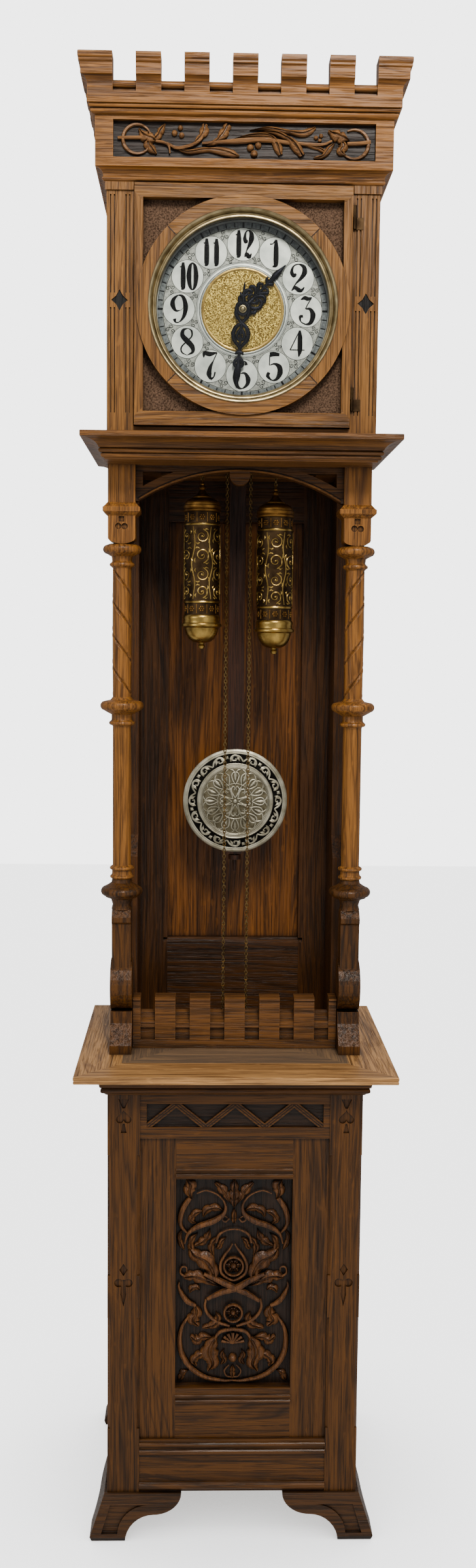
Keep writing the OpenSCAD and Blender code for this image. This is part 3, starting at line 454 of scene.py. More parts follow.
class Carving:
    """Gathers carved shapes, then becomes one piece."""
    def __init__(self, place):
        self.place, self.bm = place, bmesh.new()

    def skin(self, rows, ring=False):
        """Joins rows of drawn points into a tube."""
        bridge(self.bm, [[self.place(*p) for p in row] for row in rows], ring)

    def stem(self, points, thick, high=1.0, lift=0.0, sides=8, steps=5):
        at, n = along_curve(points), (len(points) - 1) * steps
        rows = []
        for i in range(n + 1):
            share = i / n
            (a, b), (a0, b0), (a1, b1) = at(share), at(share - 0.01), at(share + 0.01)
            size = math.hypot(a1 - a0, b1 - b0) or 1.0
            w, up = between(thick, share), between(lift, share)
            rows.append([(a - (b1 - b0) / size * w * math.cos(q), b + (a1 - a0) / size * w * math.cos(q),
                          up + w * high * math.sin(q)) for q in round_angles(sides)])
        self.skin(rows)

    def leaf(self, points, wide, lobes=3, high=4.0, sweep=0.12, steps=26):
        """A domed blade along a curve: toothed edges, a sunk midrib and a raised rib in every lobe."""
        at = along_curve(points)
        across = (-1.0, -0.8, -0.55, -0.3, -0.08, 0.08, 0.3, 0.55, 0.8, 1.0)
        rows = []
        for i in range(steps + 1):
            t = i / steps
            tooth = abs(math.sin(math.pi * lobes * t)) ** 0.7
            w = between(wide, t) * (0.62 + 0.38 * tooth)
            top, under = [], []
            for s in across:
                share = min(t + sweep * abs(s) * (1 - t * 0.5), 1.0)
                (a, b), (a0, b0), (a1, b1) = at(share), at(share - 0.02), at(share + 0.02)
                size = math.hypot(a1 - a0, b1 - b0) or 1.0
                da, db = -(b1 - b0) / size * w * s, (a1 - a0) / size * w * s
                rib = 0.28 * tooth * math.sin(math.pi * abs(s)) - (0.34 if abs(s) < 0.1 else 0)
                dome = (1 - 0.62 * abs(s) ** 1.6) * (0.45 + 0.55 * math.sin(math.pi * (0.12 + 0.8 * t)))
                top.append((a + da, b + db, high * (dome + rib)))
                under.append((a + da, b + db, -1.0))
            rows.append(top + under[::-1])
        self.skin(rows)

    def berry(self, a, b, r, high=1.0, sides=10):
        rows = [[(a + r * math.cos(q) * math.sin(w), b + r * math.sin(q) * math.sin(w),
                  r * high * math.cos(w))
                 for q in round_angles(sides)] for w in (0.15, 0.6, 1.1, 1.6, 2.2)]
        self.skin(rows)

    def ring(self, a, b, r, thick, high=1.0, lift=0.0, sweep=(0, 360), sides=6, steps=40):
        lo, hi = (math.radians(v) for v in sweep)
        angles = [lo + (hi - lo) * i / steps for i in range(steps + 1)]
        rows = []
        for q in angles:
            w = between(thick, (q - lo) / (hi - lo))
            rows.append([(a + (r + w * math.cos(v)) * math.cos(q), b + (r + w * math.cos(v)) * math.sin(q),
                          lift + w * high * math.sin(v)) for v in round_angles(sides)])
        whole = hi - lo > 6.28
        self.skin(rows[:-1] if whole else rows, whole)

    def plate(self, outline, low, high):
        """A flat shape with upright edges."""
        self.skin([[(a, b, low) for a, b in outline], [(a, b, high) for a, b in outline]])

    def piece(self, name, finish, body="case", sharp=40):
        return make(name, self.bm, finish, body, sharp)


def make(name, bm, finish, body="case", sharp=40):
    """Turns a mesh being built into a finished piece that rides on a body."""
    bmesh.ops.remove_doubles(bm, verts=bm.verts, dist=1e-7)
    bmesh.ops.recalc_face_normals(bm, faces=bm.faces)
    mesh = bpy.data.meshes.new(name)
    bm.to_mesh(mesh)
    bm.free()
    mesh.shade_smooth()
    mesh.set_sharp_from_angle(angle=math.radians(sharp))
    made = shown(name, mesh)
    mesh.materials.append(finish)
    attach(made, body)
    return made


def mirrored(points):
    return [(-a, b) for a, b in points]


def taper(a, b0, half0, b1, half1):
    """Four corners round a middle line: one half width at the first height, another at the second."""
    return [(a - half0, b0), (a + half0, b0), (a + half1, b1), (a - half1, b1)]


def spiral(a, b, r0, r1, start, turns, steps=5):
    """Points of a scroll that winds from radius r0 to r1 round a centre."""
    n = max(3, int(abs(turns) * steps * 1.6))
    points = []
    for i in range(n + 1):
        reach, q = r0 + (r1 - r0) * i / n, math.radians(start) + 2 * math.pi * turns * i / n
        points.append((a + reach * math.cos(q), b + reach * math.sin(q)))
    return points


print("carving tools ready; a half-turn scroll has", len(spiral(0, 0, 5, 1, 0, 0.5)), "points")

# %% [markdown]
# The lower panel is a mirror pair. Its stems cross in the middle, open into broad leaves above and below,
# and close round two bosses and a fan. A carver works one half on paper and pricks it through for the
# other, so each stroke is drawn once and mirrored.

# %% Lower panel
panel_low, panel_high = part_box("carved_panel")
panel_z = (panel_low[2] + panel_high[2]) / 2
panel = Carving(on_panel(panel_low[1], 0.0, panel_z))
half_stems = [
    ([(-63, 154), (-47, 159), (-27, 151), (-15, 135), (-17, 119), (-34, 106), (-59, 97), (-77, 84),
      (-83, 66)],
     (1.6, 1.6, 1.8, 2.4, 4.5, 7, 6.5, 3.5, 1.5), 7),
    ([(-74, 146), (-86, 128), (-91, 110), (-89, 96), (-79, 84)], (5, 7, 6.5, 4, 2), 5),
    ([(-30, 68), (-25, 82), (-12, 90), (0, 92)], (2.5, 3, 2, 1.5), 8),
    ([(-2, 66), (-6, 58), (-16, 44), (-22, 30), (-20, 14), (-8, 4), (0, 1)], (1.5, 2, 3, 3.5, 3.5, 3, 2.5),
     7),
    ([(-92, -2), (-93, -10), (-88, -22), (-78, -36), (-64, -44)], (2, 3, 5, 6, 4), 6),
    ([(-46, -32), (-48, -46), (-42, -60), (-28, -72), (-6, -80)], (2.5, 3, 3.5, 4, 3), 6),
    ([(-28, -110), (-29, -100), (-20, -89), (0, -85)], (2, 3, 4, 4), 7),
    ([(-76, -64), (-87, -82), (-91, -104), (-87, -130), (-72, -154), (-48, -171), (-18, -178), (0, -178)],
     (2, 4.5, 6, 6.5, 6, 5, 3.5, 2), 5),
    ([(-6, -150), (-14, -160), (-10, -170), (0, -172)], (1.4, 2, 1.6, 1.2), 5),
    ([(-82, 8), (-90, 14), (-88, 24), (-80, 24), (-79, 16)], (2.6, 2.4, 2, 1.6, 1.2), 6),
    ([(-8, 110), (-14, 104), (-20, 108), (-16, 114), (-11, 111)], (2, 2, 1.8, 1.4, 1), 6),
]
half_leaves = [
    ([(-70, 142), (-76, 156), (-74, 168), (-80, 178)], (3, 10, 13, 8, 1), 2.2, 8),
    ([(-44, -4), (-34, 12), (-46, 34), (-66, 46), (-76, 60)], (4, 12, 17, 14, 7, 1), 3.4, 11),
    ([(-20, -10), (-44, 0), (-66, 8), (-86, 6)], (3, 9, 12, 9, 1), 3.2, 9),
    ([(-16, 122), (-30, 128), (-46, 124), (-52, 112)], (2, 7, 8, 6, 1), 2.4, 7),
    ([(-62, 100), (-72, 106), (-66, 118), (-54, 122)], (2, 6, 7, 5, 1), 2.2, 6),
    ([(-4, 132), (-12, 148), (-20, 160), (-32, 172)], (2, 7, 9, 7, 1), 2.6, 6),
    ([(-40, 92), (-44, 78), (-54, 68), (-66, 62)], (2, 7, 8, 6, 1), 2.6, 7),
    ([(-26, 78), (-34, 70), (-38, 58), (-34, 44)], (2, 5, 7, 5, 1), 2.4, 7),
    ([(-12, 76), (-20, 70), (-24, 60), (-30, 56)], (2, 5, 6, 4, 1), 2.2, 6),
    ([(-56, -18), (-62, -12), (-70, -14), (-74, -22)], (2, 6, 7, 5, 1), 2.3, 6),
    ([(-66, -40), (-62, -56), (-68, -70), (-58, -80)], (4, 11, 12, 8, 1), 2.6, 9),
    ([(-30, -56), (-26, -66), (-32, -78), (-52, -84)], (3, 8, 9, 7, 1), 2.6, 8),
    ([(-24, -96), (-34, -108), (-40, -126), (-34, -146), (-42, -160)], (4, 12, 17, 14, 8, 1), 3.4, 11),
    ([(-34, -100), (-50, -100), (-62, -106), (-72, -98)], (3, 8, 10, 7, 1), 2.6, 8),
    ([(-44, -128), (-56, -132), (-66, -142), (-62, -152)], (3, 8, 9, 6, 1), 2.4, 8),
    ([(-74, -160), (-84, -164), (-88, -172), (-92, -180)], (2, 6, 7, 5, 1), 2.2, 5),
    ([(-14, -122), (-18, -132), (-14, -142), (-20, -150)], (2, 5, 6, 4, 1), 2.2, 6),
    ([(-84, 92), (-92, 80), (-90, 66), (-84, 54)], (2, 4, 6, 4, 1), 2.2, 5),
    ([(-60, 84), (-70, 74), (-72, 58), (-64, 48)], (2, 6, 7, 5, 1), 2.4, 6),
]
for points, thick, lift in half_stems:
    for drawn in (points, mirrored(points)):
        panel.stem(drawn, [t * 0.75 for t in thick], 1.1, lift * 0.8)
for points, wide, lobes, high in half_leaves:
    for drawn in (points, mirrored(points)):
        panel.leaf(drawn, wide, lobes, high * 0.95)
panel.stem([(-44, -30), (-20, -18), (6, -10), (30, 4), (52, 14)], (3, 5, 6, 5, 3), 1.1, 9)
panel.stem([(44, -34), (22, -20), (-4, -8), (-28, 4), (-50, 14)], (3, 5, 6, 5, 3), 1.1, 8)
panel.leaf([(0, 126), (0, 142), (0, 158), (0, 178)], (3, 9, 10, 7, 1), 3.3, 9)
panel.leaf([(0, 100), (0, 106), (0, 114), (0, 126)], (2, 5, 6, 4, 1), 2.2, 8)
for b, r in ((27, 16), (-56, 15)):
    panel.ring(0, b, r, 2.2, 1.6, 7)
    panel.berry(0, b, r * 0.36, 2.2)
    for k in range(6):
        q = math.radians(60 * k + 30)
        panel.leaf([(r * f * math.sin(q), b + r * f * math.cos(q)) for f in (0.15, 0.5, 0.88)],
                   (1, 4.6, 5.4, 1.2), 1.6, 6)
for k in range(-3, 4):
    q = math.radians(25 * k)
    panel.stem([(0, -112), (20 * math.sin(q), -112 + 20 * math.cos(q))], (1.2, 3.4), 1.4, 3)
panel.berry(0, -138, 8, 1.3)
panel.leaf([(0, -150), (0, -158), (0, -166), (0, -176)], (2, 5, 6, 4, 1), 2.2, 6)
leafwork_oak = oak("carved_leafwork", (112, 70, 34), (62, 37, 18), "Z", 14.0, hollow_shade=0.95, gloss=0.3)
panel.piece("panel_leafwork", leafwork_oak)
print("lower panel:", len(half_leaves) * 2 + 2, "leaves")

# %% [markdown]
# The frieze is freer: one vine runs from end to end, threads a ring at each, and throws feathered leaves up
# and down with berries between them.

# %% Frieze vine
frieze_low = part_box("frieze")[0]
recess_floor = frieze_low[1] + 9 * MM
vine = Carving(on_panel(recess_floor, 0.0, frieze_low[2] + 41 * MM))
vine.ring(-167, 1, 22, (1.6, 2.6, 3.2, 2.6, 1.6), 1.3, 2, (15, 345))
vine.ring(171, -1, 22, (1.6, 2.6, 3.4, 2.6, 1.6), 1.3, 2, (-150, 120))
vine.stem([(-197, 2), (-180, 2.5), (-160, 3)], (2.4, 2.8, 3), 1.2, 3.5)
vine.stem([(196, 2), (180, 0), (160, -1)], (3.6, 3.2, 3), 1.2, 3.5)
vine.leaf([(-134, -2), (-146, 2), (-156, 6), (-164, 16)], (4, 9, 10, 6, 1), 2.4, 8)
vine.leaf([(-146, 0), (-150, -6), (-144, -14), (-137, -21)], (3, 8, 8, 5, 1), 2.3, 7)
vine.leaf([(-144, 0), (-136, 4), (-130, 14), (-124, 24)], (3, 6, 7, 4, 1), 2.2, 8)
vine.stem([(-138, -2), (-126, -4), (-118, -8), (-116, -20)], (2.5, 2.4, 2.2, 1), 1.2, 4)
vine.stem([(-120, -5), (-105, -12), (-85, -8), (-70, 0), (-62, 12)], (2, 3, 3, 2.6, 1.5), 1.2, 4)
vine.leaf([(-82, -8), (-72, 2), (-64, 12), (-62, 25)], (2, 5, 7, 8, 4), 2.4, 6)
vine.leaf([(-62, -8), (-46, -2), (-34, 10), (-26, 25)], (2, 5, 7, 9, 5), 2.6, 7)
vine.leaf([(-112, -9), (-90, -17), (-60, -13), (-30, -16), (-8, -22)], (2, 4, 5, 7, 7, 1), 2.2, 6)
vine.stem([(-66, -4), (-40, -2), (-10, 0), (30, 3), (70, -1), (118, -3), (136, 3)],
          (2, 3, 4.5, 4.2, 3, 2.4, 1.6), 1.1, 4)
vine.leaf([(-22, 2), (10, 9), (38, 9), (50, -4), (56, -19)], (2, 3.5, 4.5, 6, 7.5, 4), 2.2, 8)
vine.leaf([(12, 13), (44, 14), (66, 6), (80, -6), (90, -20)], (2, 4, 5.5, 7, 8.5, 4), 2.4, 9)
vine.leaf([(6, 17), (36, 20), (66, 16), (92, 14), (110, 23)], (2, 4, 5, 5.5, 6, 2), 2.2, 6)
vine.leaf([(86, -1), (104, -5), (120, -10), (128, -16)], (2, 3, 4, 3, 1), 2.2, 5)
vine.leaf([(164, 4), (152, 8), (142, 12), (130, 18)], (3, 10, 11, 7, 1), 2.4, 9)
vine.leaf([(150, 6), (154, -4), (150, -12), (158, -18)], (3, 8, 8, 5, 1), 2.3, 7)
vine.leaf([(142, 2), (132, -8), (122, -20), (108, -23)], (3, 5, 5, 4, 1), 1.8, 6)
for a, b, r in ((-109, 11, 5), (-100, 19, 4.4), (-98, 8, 4.6), (9, -9, 6), (21, -5, 5.6), (15, -18, 6.2),
                (111, 8, 3.8), (119, 11, 3.6), (117, 4, 3.4)):
    vine.berry(a, b, r, 1.5)
vine_oak = oak("frieze_leafwork", (150, 104, 60), (96, 62, 32), "X", 15.0, hollow_shade=0.9, gloss=0.3)
vine.piece("frieze_vine", vine_oak)
# A near-black sheet on the recess floor behind the vine: painted shade.
board = Carving(on_panel(recess_floor + 0.2 * MM, 0.0, 0.0))
frieze_z = frieze_low[2] / MM
board.plate(taper(0, frieze_z + 13.1, 203.9, frieze_z + 68.9, 203.9), -0.1, 0.5)
board.piece("frieze_ground", oak("frieze_shade_board", (42, 26, 14), (20, 12, 7), "X", 16.0))
print("frieze vine laid on the recess floor at", round(recess_floor, 4))

# %% [markdown]
# Turned work comes off a lathe, so one tool spins a profile. It can also cut a spiral into the turned face,
# which is how the upper shafts of the columns get their two-start groove; the two columns wind opposite
# ways.

# %% Turned columns
def turned(name, profile, centre, axis, finish, body="case", sides=64, cut=None, sharp=35, tube=False):
    """Spins [radius, height] steps, in millimetres, round an axis; a tube's last step joins its first."""
    bm = bmesh.new()
    rows = []
    for r, h in profile:
        row = []
        for q in round_angles(sides):
            reach = (r - (cut(q, h) if cut else 0)) * MM
            u, v = reach * math.cos(q), reach * math.sin(q)
            row.append(Vector(centre) + Vector((u, v, h * MM) if axis == "Z" else (u, h * MM, v)))
        rows.append(row)
    bridge(bm, rows, tube)
    return make(name, bm, finish, body, sharp)


def half_round(r, h, size, steps=7, reach=math.radians(80)):
    angles = [reach * (2 * i / steps - 1) for i in range(steps + 1)]
    return [(r + size * math.cos(q), h + size * math.sin(q)) for q in angles]


def spiral_cut(hand, low, high):
    """Depth of a two-start groove, faded out at both ends."""
    def depth(q, h):
        if not low < h < high:
            return 0.0
        phase = (hand * h / 55 + q / math.pi) % 1.0
        off = min(phase, 1 - phase) * 38
        fade = min(1.0, (h - low) / 6, (high - h) / 6)
        return fade * (3.0 * max(0.0, 1 - off / 2.5) - 0.5 * max(0.0, 1 - abs(off - 4.0) / 1.8))
    return depth


for side, hand in (("left", -1), ("right", 1)):
    low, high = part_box("column_" + side)
    x, y, z0, z1 = (low[0] + high[0]) / 2, (low[1] + high[1]) / 2, low[2] / MM, high[2] / MM
    r, mid = 15.5, z0 + 0.552 * (z1 - z0)
    shaft_low, shaft_high = mid + 22, z1 - 40
    shaft = [(r + 0.6 * math.sin(math.pi * i / 210), shaft_low + (shaft_high - shaft_low) * i / 210)
             for i in range(211)]
    base = ([(r + 2, z0), (r, z0 + 8), (r + 3, z0 + 18), (r + 12, z0 + 21)] + half_round(r + 12, z0 + 31, 8)
            + [(r + 8, z0 + 42), (r + 2, z0 + 46), (r + 1, z0 + 52)])
    turned("turned_base_" + side, base, (x, y, 0), "Z", brown_up, sides=96)
    profile = ([(r + 1, z0 + 52)] + half_round(r + 1.5, z0 + 56, 3, steps=4)
               + [(r + 1, z0 + 62), (r + 1, z0 + 68)] + half_round(r + 2, z0 + 71, 3, steps=4)
               + [(r, z0 + 76), (r, mid - 28), (r + 1, mid - 26)]
               + half_round(r + 3, mid - 22, 3.5, steps=4)
               + [(r + 2, mid - 16), (r + 2, mid - 8), (r + 13, mid - 2)] + half_round(r + 13, mid + 7, 8)
               + [(r + 4, mid + 17)] + shaft + [(r + 2, z1 - 38)] + half_round(r + 2, z1 - 34, 3.5, steps=4)
               + [(r + 1, z1 - 28), (r + 2, z1 - 21), (r + 9, z1 - 17)] + half_round(r + 9, z1 - 9, 7.5)
               + [(r + 6, z1)])
    column = turned("turned_column_" + side, profile, (x, y, 0), "Z", golden_up, sides=96,
                    cut=spiral_cut(-hand, shaft_low, shaft_high))
    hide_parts("column_" + side)
print("columns turned;", len(profile), "steps in the profile")

# %% [markdown]
# Some boards are cut again here: the cap blocks have a square notch over two drilled hollows, the corner
# stiles have a spade at the top and a trefoil lower down, and each pilaster has a four-pointed star with a
# dished ground painted near black as shade. The imported board is copied, its loose triangles are merged,
# and the cuts are taken out of it.

# %% Cut boards
def disc(a, b, r, sides=20):
    return [(a + r * math.cos(q), b + r * math.sin(q)) for q in round_angles(sides)]


def baked(thing):
    """A plain mesh of the object as its modifiers leave it."""
    return bpy.data.meshes.new_from_object(thing.evaluated_get(bpy.context.evaluated_depsgraph_get()))


def recut(node, name, outlines, front, deep, finish):
    """A copy of a packed board with these outlines sunk into its front face."""
    mesh = nodes[node].data.copy()
    bm = bmesh.new()
    bm.from_mesh(mesh)
    bmesh.ops.remove_doubles(bm, verts=bm.verts, dist=1e-6)
    bmesh.ops.dissolve_limit(bm, angle_limit=0.002, verts=bm.verts, edges=bm.edges)
    bm.to_mesh(mesh)
    bm.free()
    board = shown(name, mesh)
    mesh.materials.clear()
    mesh.materials.append(finish)
    for outline in outlines:
        tool = Carving(on_panel(front))
        tool.plate(outline, -deep, 4)
        cutter = make("cutter", tool.bm, finish)
        cut = board.modifiers.new("cut", "BOOLEAN")
        cut.operation, cut.solver, cut.object = "DIFFERENCE", "EXACT", cutter
        done = baked(board)
        board.modifiers.remove(cut)
        board.data = done
        bpy.data.objects.remove(cutter)
    board.data.name = name
    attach(board, "case")
    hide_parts(node)
    return board


def heart(a, b, size):
    """A heart standing on its lobes, point up, as on a spade."""
    pts = []
    for q in round_angles(28):
        u = math.sin(q) ** 3
        v = (13 * math.cos(q) - 5 * math.cos(2 * q) - 2 * math.cos(3 * q) - math.cos(4 * q)) / 16
        pts.append((a + size * u, b - size * v))
    return pts


for side in ("left", "right"):
    low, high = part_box("cap_" + side)
    a, top = (low[0] + high[0]) / 2 / MM, low[2] / MM + 45
    recut("cap_" + side, "cut_cap_" + side,
          [taper(a, top - 10, 5, top - 0.5, 5), disc(a - 5.2, top - 17, 5.4),
           disc(a + 5.2, top - 17.2, 5.4)],
          low[1] + 8 * MM, 4.5, golden_up)
    low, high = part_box("stile_" + side)
    a, top = (low[0] + high[0]) / 2 / MM, high[2] / MM
    recut("stile_" + side, "cut_stile_" + side,
          [taper(a, top - 8, 9, top - 24, 2), heart(a, top - 40, 13), taper(a, top - 50, 1.6, top - 66, 5),
           [(a, top - 292), (a + 7, top - 303), (a, top - 314), (a - 7, top - 303)],
           disc(a - 8, top - 326, 7.5), disc(a + 8, top - 326, 7.5),
           [(a - 3, top - 320), (a + 3, top - 320), (a + 5, top - 346), (a, top - 368), (a - 5, top - 346)]],
          low[1], 3.2, brown_up)
# The star's dished ground is near black: painted shade in the recess.
star_shade_oak = oak("star_shade_oak", (18, 12, 8), (9, 6, 4), "Z", 23.0)
STAR_TIP, STAR_NOTCH, STAR_STRETCH = 13.2, 7.6, 1.26
star = [(r * math.cos(q), STAR_STRETCH * r * math.sin(q))
        for q, r in zip(round_angles(8), (STAR_TIP, STAR_NOTCH) * 4)]
for side in ("left", "right"):
    low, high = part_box("pilaster_" + side)
    a, b, front = (low[0] + high[0]) / 2 / MM, low[2] / MM + 207, low[1] + 3 * MM
    outline = [(a + u, b + v) for u, v in star]
    recut("pilaster_" + side, "cut_pilaster_" + side, [outline], front, 5, honey_up)
    sunk = Carving(on_panel(front + 4.9 * MM))
    sunk.skin([[(a + u * share, b + v * share, up) for u, v in star]
               for share, up in ((0.99, 2.6), (0.04, 0.1))])
    sunk.piece("star_ground_" + side, star_shade_oak)
print("caps, stiles and pilasters cut")

# %% [markdown]
# A narrow dark line is run with a scratch stock: along the arch, beside each bar of the lattice, and where
# the dial ring's four quarters meet. Behind the lattice lies a sheet painted dark as shade.

# %% Lines and lattice
line_ink = oak("scratched_line", (34, 20, 11), (18, 11, 6), "X", 21.0)
arch_low, arch_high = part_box("arch_board")
reach, rise = arch_high[0] / MM - 4, 50
radius = (reach ** 2 + rise ** 2) / (2 * rise)
spread = math.degrees(math.asin((reach - 2) / radius))
for name, out, thick, high, lift, finish in (("arch_line", 4.5, 0.9, 0.6, 0.1, line_ink),
                                             ("arch_bead", 2.2, 1.7, 1.0, 0.2, cornice_level)):
    arch = Carving(on_panel(arch_low[1], 0.0, arch_low[2] + (rise - radius) * MM))
    arch.ring(0, 0, radius + out, thick, high, lift, (90 - spread, 90 + spread))
    arch.piece(name, finish)

rail_low, rail_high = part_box("lattice_rail")
z0, z1 = rail_low[2] / MM + 19, rail_high[2] / MM - 17
lattice = Carving(on_panel(rail_low[1] + 6 * MM))
# A dark sheet behind the lattice: painted shade.
lattice.plate(taper(0, z0 + 0.1, 146.9, z1 - 0.1, 146.9), -0.1, 0.5)
lattice.piece("lattice_ground", oak("lattice_ground", (50, 31, 16), (26, 16, 9), "X", 17.0))
lines = Carving(on_panel(rail_low[1] + 1 * MM))
for k in range(6):
    a = -147 + 49 * k
    near, far = (z0, z1) if k % 2 == 0 else (z1, z0)
    for shift in (-2.8, 2.8):
        lines.stem([(a + shift, near), (a + 49 + shift, far)], 0.75, 0.5, 0.05)
lines.piece("lattice_lines", line_ink)
door_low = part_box("door_frame")[0]
joints = Carving(on_panel(door_low[1], 0.0, dial_z))
for k in range(4):
    q = math.radians(45 + 90 * k)
    joints.stem([(r * math.cos(q), r * math.sin(q)) for r in (149.8, 167.6)], 0.8, 0.3, 0.05)
joints.piece("ring_joints", line_ink, "door")
print("lattice between", round(z0), "and", round(z1), "mm")

# %% [markdown]
# The dial is a silvered plate. Twelve plain roundels carry the hour figures, and the field between them is
# filled with small scrolls. The figures are drawn as pen strokes that swell and thin, so each one is a list
# of strokes in a box two units wide and two high.

# %% Dial
THIN, WIDE = 0.2, 1.0
STROKES = {
    "0": [([(0, 1), (0.62, 0.7), (0.86, 0), (0.62, -0.7), (0, -1), (-0.62, -0.7), (-0.86, 0), (-0.62, 0.7),
            (0, 1)], (THIN, 0.7, WIDE, 0.7, THIN, 0.7, WIDE, 0.7, THIN))],
    "1": [([(0.1, 1), (0.12, 0.4), (0.12, -0.4), (0.08, -0.85), (-0.3, -1)], (0.5, 0.95, 1.0, 0.9, THIN)),
          ([(-0.65, 0.66), (-0.3, 0.7), (0.1, 0.98)], (0.3, THIN, 0.3))],
    "2": [([(-0.25, 0.3), (-0.55, 0.16), (-0.82, 0.4), (-0.6, 0.84), (0.05, 1), (0.7, 0.8), (0.8, 0.4),
            (0.4, 0), (-0.3, -0.45), (-0.8, -0.95)], (0.4, 0.8, 0.7, 0.3, THIN, 0.8, 1.05, 0.7, 0.25, THIN)),
          ([(-0.8, -0.95), (-0.4, -0.72), (0.1, -0.9), (0.45, -0.92), (0.8, -0.68)],
           (THIN, 0.7, 0.9, 0.6, THIN))],
    "3": [([(-0.7, 0.82), (-0.2, 0.95), (0.2, 0.88), (0.7, 1)], (0.2, 0.8, 0.8, 0.1)),
          ([(0.66, 0.96), (0.2, 0.5), (-0.1, 0.14)], THIN),
          ([(-0.1, 0.14), (0.5, 0.12), (0.86, -0.3), (0.6, -0.85), (0, -1), (-0.66, -0.8), (-0.75, -0.45),
            (-0.4, -0.4)], (0.2, 0.6, 1.1, 0.8, 0.3, 0.2, 0.6, 0.5))],
    "4": [([(0.3, 0.95), (0.34, 0.4), (0.34, -0.5), (0.2, -1)], (0.4, 0.95, 0.95, THIN)),
          ([(0.25, 0.9), (-0.9, -0.5)], THIN),
          ([(-0.9, -0.5), (0.95, -0.5)], THIN)],
    "5": [([(-0.5, 0.9), (0, 0.95), (0.7, 0.9)], (0.9, 0.9, 0.6)), ([(-0.5, 0.9), (-0.55, 0.1)], THIN),
          ([(-0.55, 0.1), (0.1, 0.22), (0.7, 0), (0.8, -0.45), (0.4, -0.9), (-0.2, -1), (-0.75, -0.7),
            (-0.6, -0.42)], (0.1, 0.4, 1.0, 1.1, 0.6, 0.2, 0.7, 0.6))],
    "6": [([(0.55, 0.74), (0.4, 0.98), (-0.1, 0.95), (-0.66, 0.5), (-0.86, -0.2), (-0.55, -0.85),
            (0.05, -1), (0.66, -0.7), (0.78, -0.3), (0.4, 0.12), (-0.2, 0.1), (-0.6, -0.1)],
           (0.7, 0.3, 0.2, 0.7, 1.0, 0.7, 0.2, 0.7, 1.0, 0.5, 0.1, 0.1))],
    "7": [([(-0.85, 0.62), (-0.75, 0.95), (-0.1, 0.88), (0.5, 0.95), (0.85, 1)],
           (0.2, 0.8, 0.95, 0.5, THIN)),
          ([(0.85, 1), (0.4, 0.4), (0, -0.1), (-0.15, -0.6), (0.05, -1)], (THIN, 0.2, 0.7, 1.05, 0.4)),
          ([(0.05, -1), (0.45, -0.8), (0.62, -0.45)], (0.5, 0.25, 0.35))],
    "8": [([(0.1, 1), (-0.5, 0.85), (-0.6, 0.45), (0, 0.05), (0.62, -0.35), (0.7, -0.75), (0, -1)],
           (0.1, 0.6, 0.9, 1.1, 1.0, 0.6, 0.1)),
          ([(0, -1), (-0.66, -0.8), (-0.72, -0.4), (0, 0.05), (0.56, 0.4), (0.55, 0.8), (0.1, 1)],
           (0.1, 0.3, 0.3, 0.25, 0.3, 0.4, 0.1))],
}
STROKES["9"] = [([(-a, -b) for a, b in points], thick) for points, thick in STROKES["6"]]


def figure(carving, text, a, b, half_high, half_wide, weight):
    """Draws the digits of a number side by side."""
    step = half_wide * 1.24 if len(text) > 1 else 0
    slim = 0.52 if len(text) > 1 else 1.0
    for k, digit in enumerate(text):
        middle = a + (k - (len(text) - 1) / 2) * step
        for points, thick in STROKES[digit]:
            at = [(middle + u * half_wide * slim, b + v * half_high) for u, v in points]
            widths = [weight * t for t in thick] if hasattr(thick, "__len__") else weight * thick
            carving.stem(at, widths, 0.14, 0.62, 6, 5)


dial_front = dial_low[1]
FIGURE_RING, ROUNDEL = 101.5, 25.2


def dial_ring(name, finish, profile):
    """A flat ring of [radius, height behind the dial's face] steps, made round the dial's middle."""
    turned(name, profile, (0, dial_front, dial_z), "Y", finish, sides=128, tube=True)


track_grey = metal("minute_track", (118, 121, 121), (84, 87, 88), 0.5, 300.0, 0.5)
dial_ring("dial_field", grey_silver, [(67, 0.6), (67, -0.25), (126.5, -0.25), (126.5, 0.6)])
dial_ring("dial_rim", silver, [(126.5, 0.6), (126.6, -0.4), (127.6, -0.5), (135, -0.5), (136, -0.3),
                               (138.4, -0.3), (138.4, 0.6)])
dial_ring("minute_track", track_grey, [(127.4, 0.4), (127.5, -0.75), (135, -0.75), (135.1, 0.4)])
roundels, outlines, figures, filler = (Carving(on_panel(dial_front, 0.0, dial_z)) for _ in range(4))
for hour in range(1, 13):
    q = math.radians(30 * hour)
    a, b = FIGURE_RING * math.sin(q), FIGURE_RING * math.cos(q)
    roundels.plate(disc(a, b, ROUNDEL, 40), 0.1, 0.5)
    outlines.ring(a, b, ROUNDEL + 0.2, 0.4, 0.6, 0.45, sides=4, steps=36)
    figure(figures, str(hour), a, b + 0.5, 21.0, 12.6, 4.1)
    q += math.pi / 12
    for r, size, turn in ((118.5, 5.0, 0), (80, 4.2, math.pi)):
        u, v = r * math.sin(q), r * math.cos(q)
        for k in range(3):
            w = q + 2 * math.pi * k / 3 + turn
            cu, cv = u + size * 0.9 * math.sin(w), v + size * 0.9 * math.cos(w)
            filler.stem(spiral(cu, cv, size * 0.75, size * 0.15, 100 * k + 40, 1.2), 0.5, 0.6, 0.35, 4, 2)
for r, thick in ((126.8, 0.5), (135.2, 0.5), (68.6, 0.45), (72.4, 0.35), (74.0, 0.35)):
    outlines.ring(0, 0, r, thick, 0.7, 0.45, sides=4, steps=96)
roundels.piece("dial_roundels", silver)
outlines.piece("dial_outlines", ink)
figures.piece("dial_figures", ink)
filler.piece("dial_scrolls", ink)
dial_ring("dial_inner_ring", silver, [(66, 0.4), (66.1, -0.6), (67, -0.9), (68, -0.5), (68.5, -0.35),
                                      (74.2, -0.35), (74.4, 0.4)])
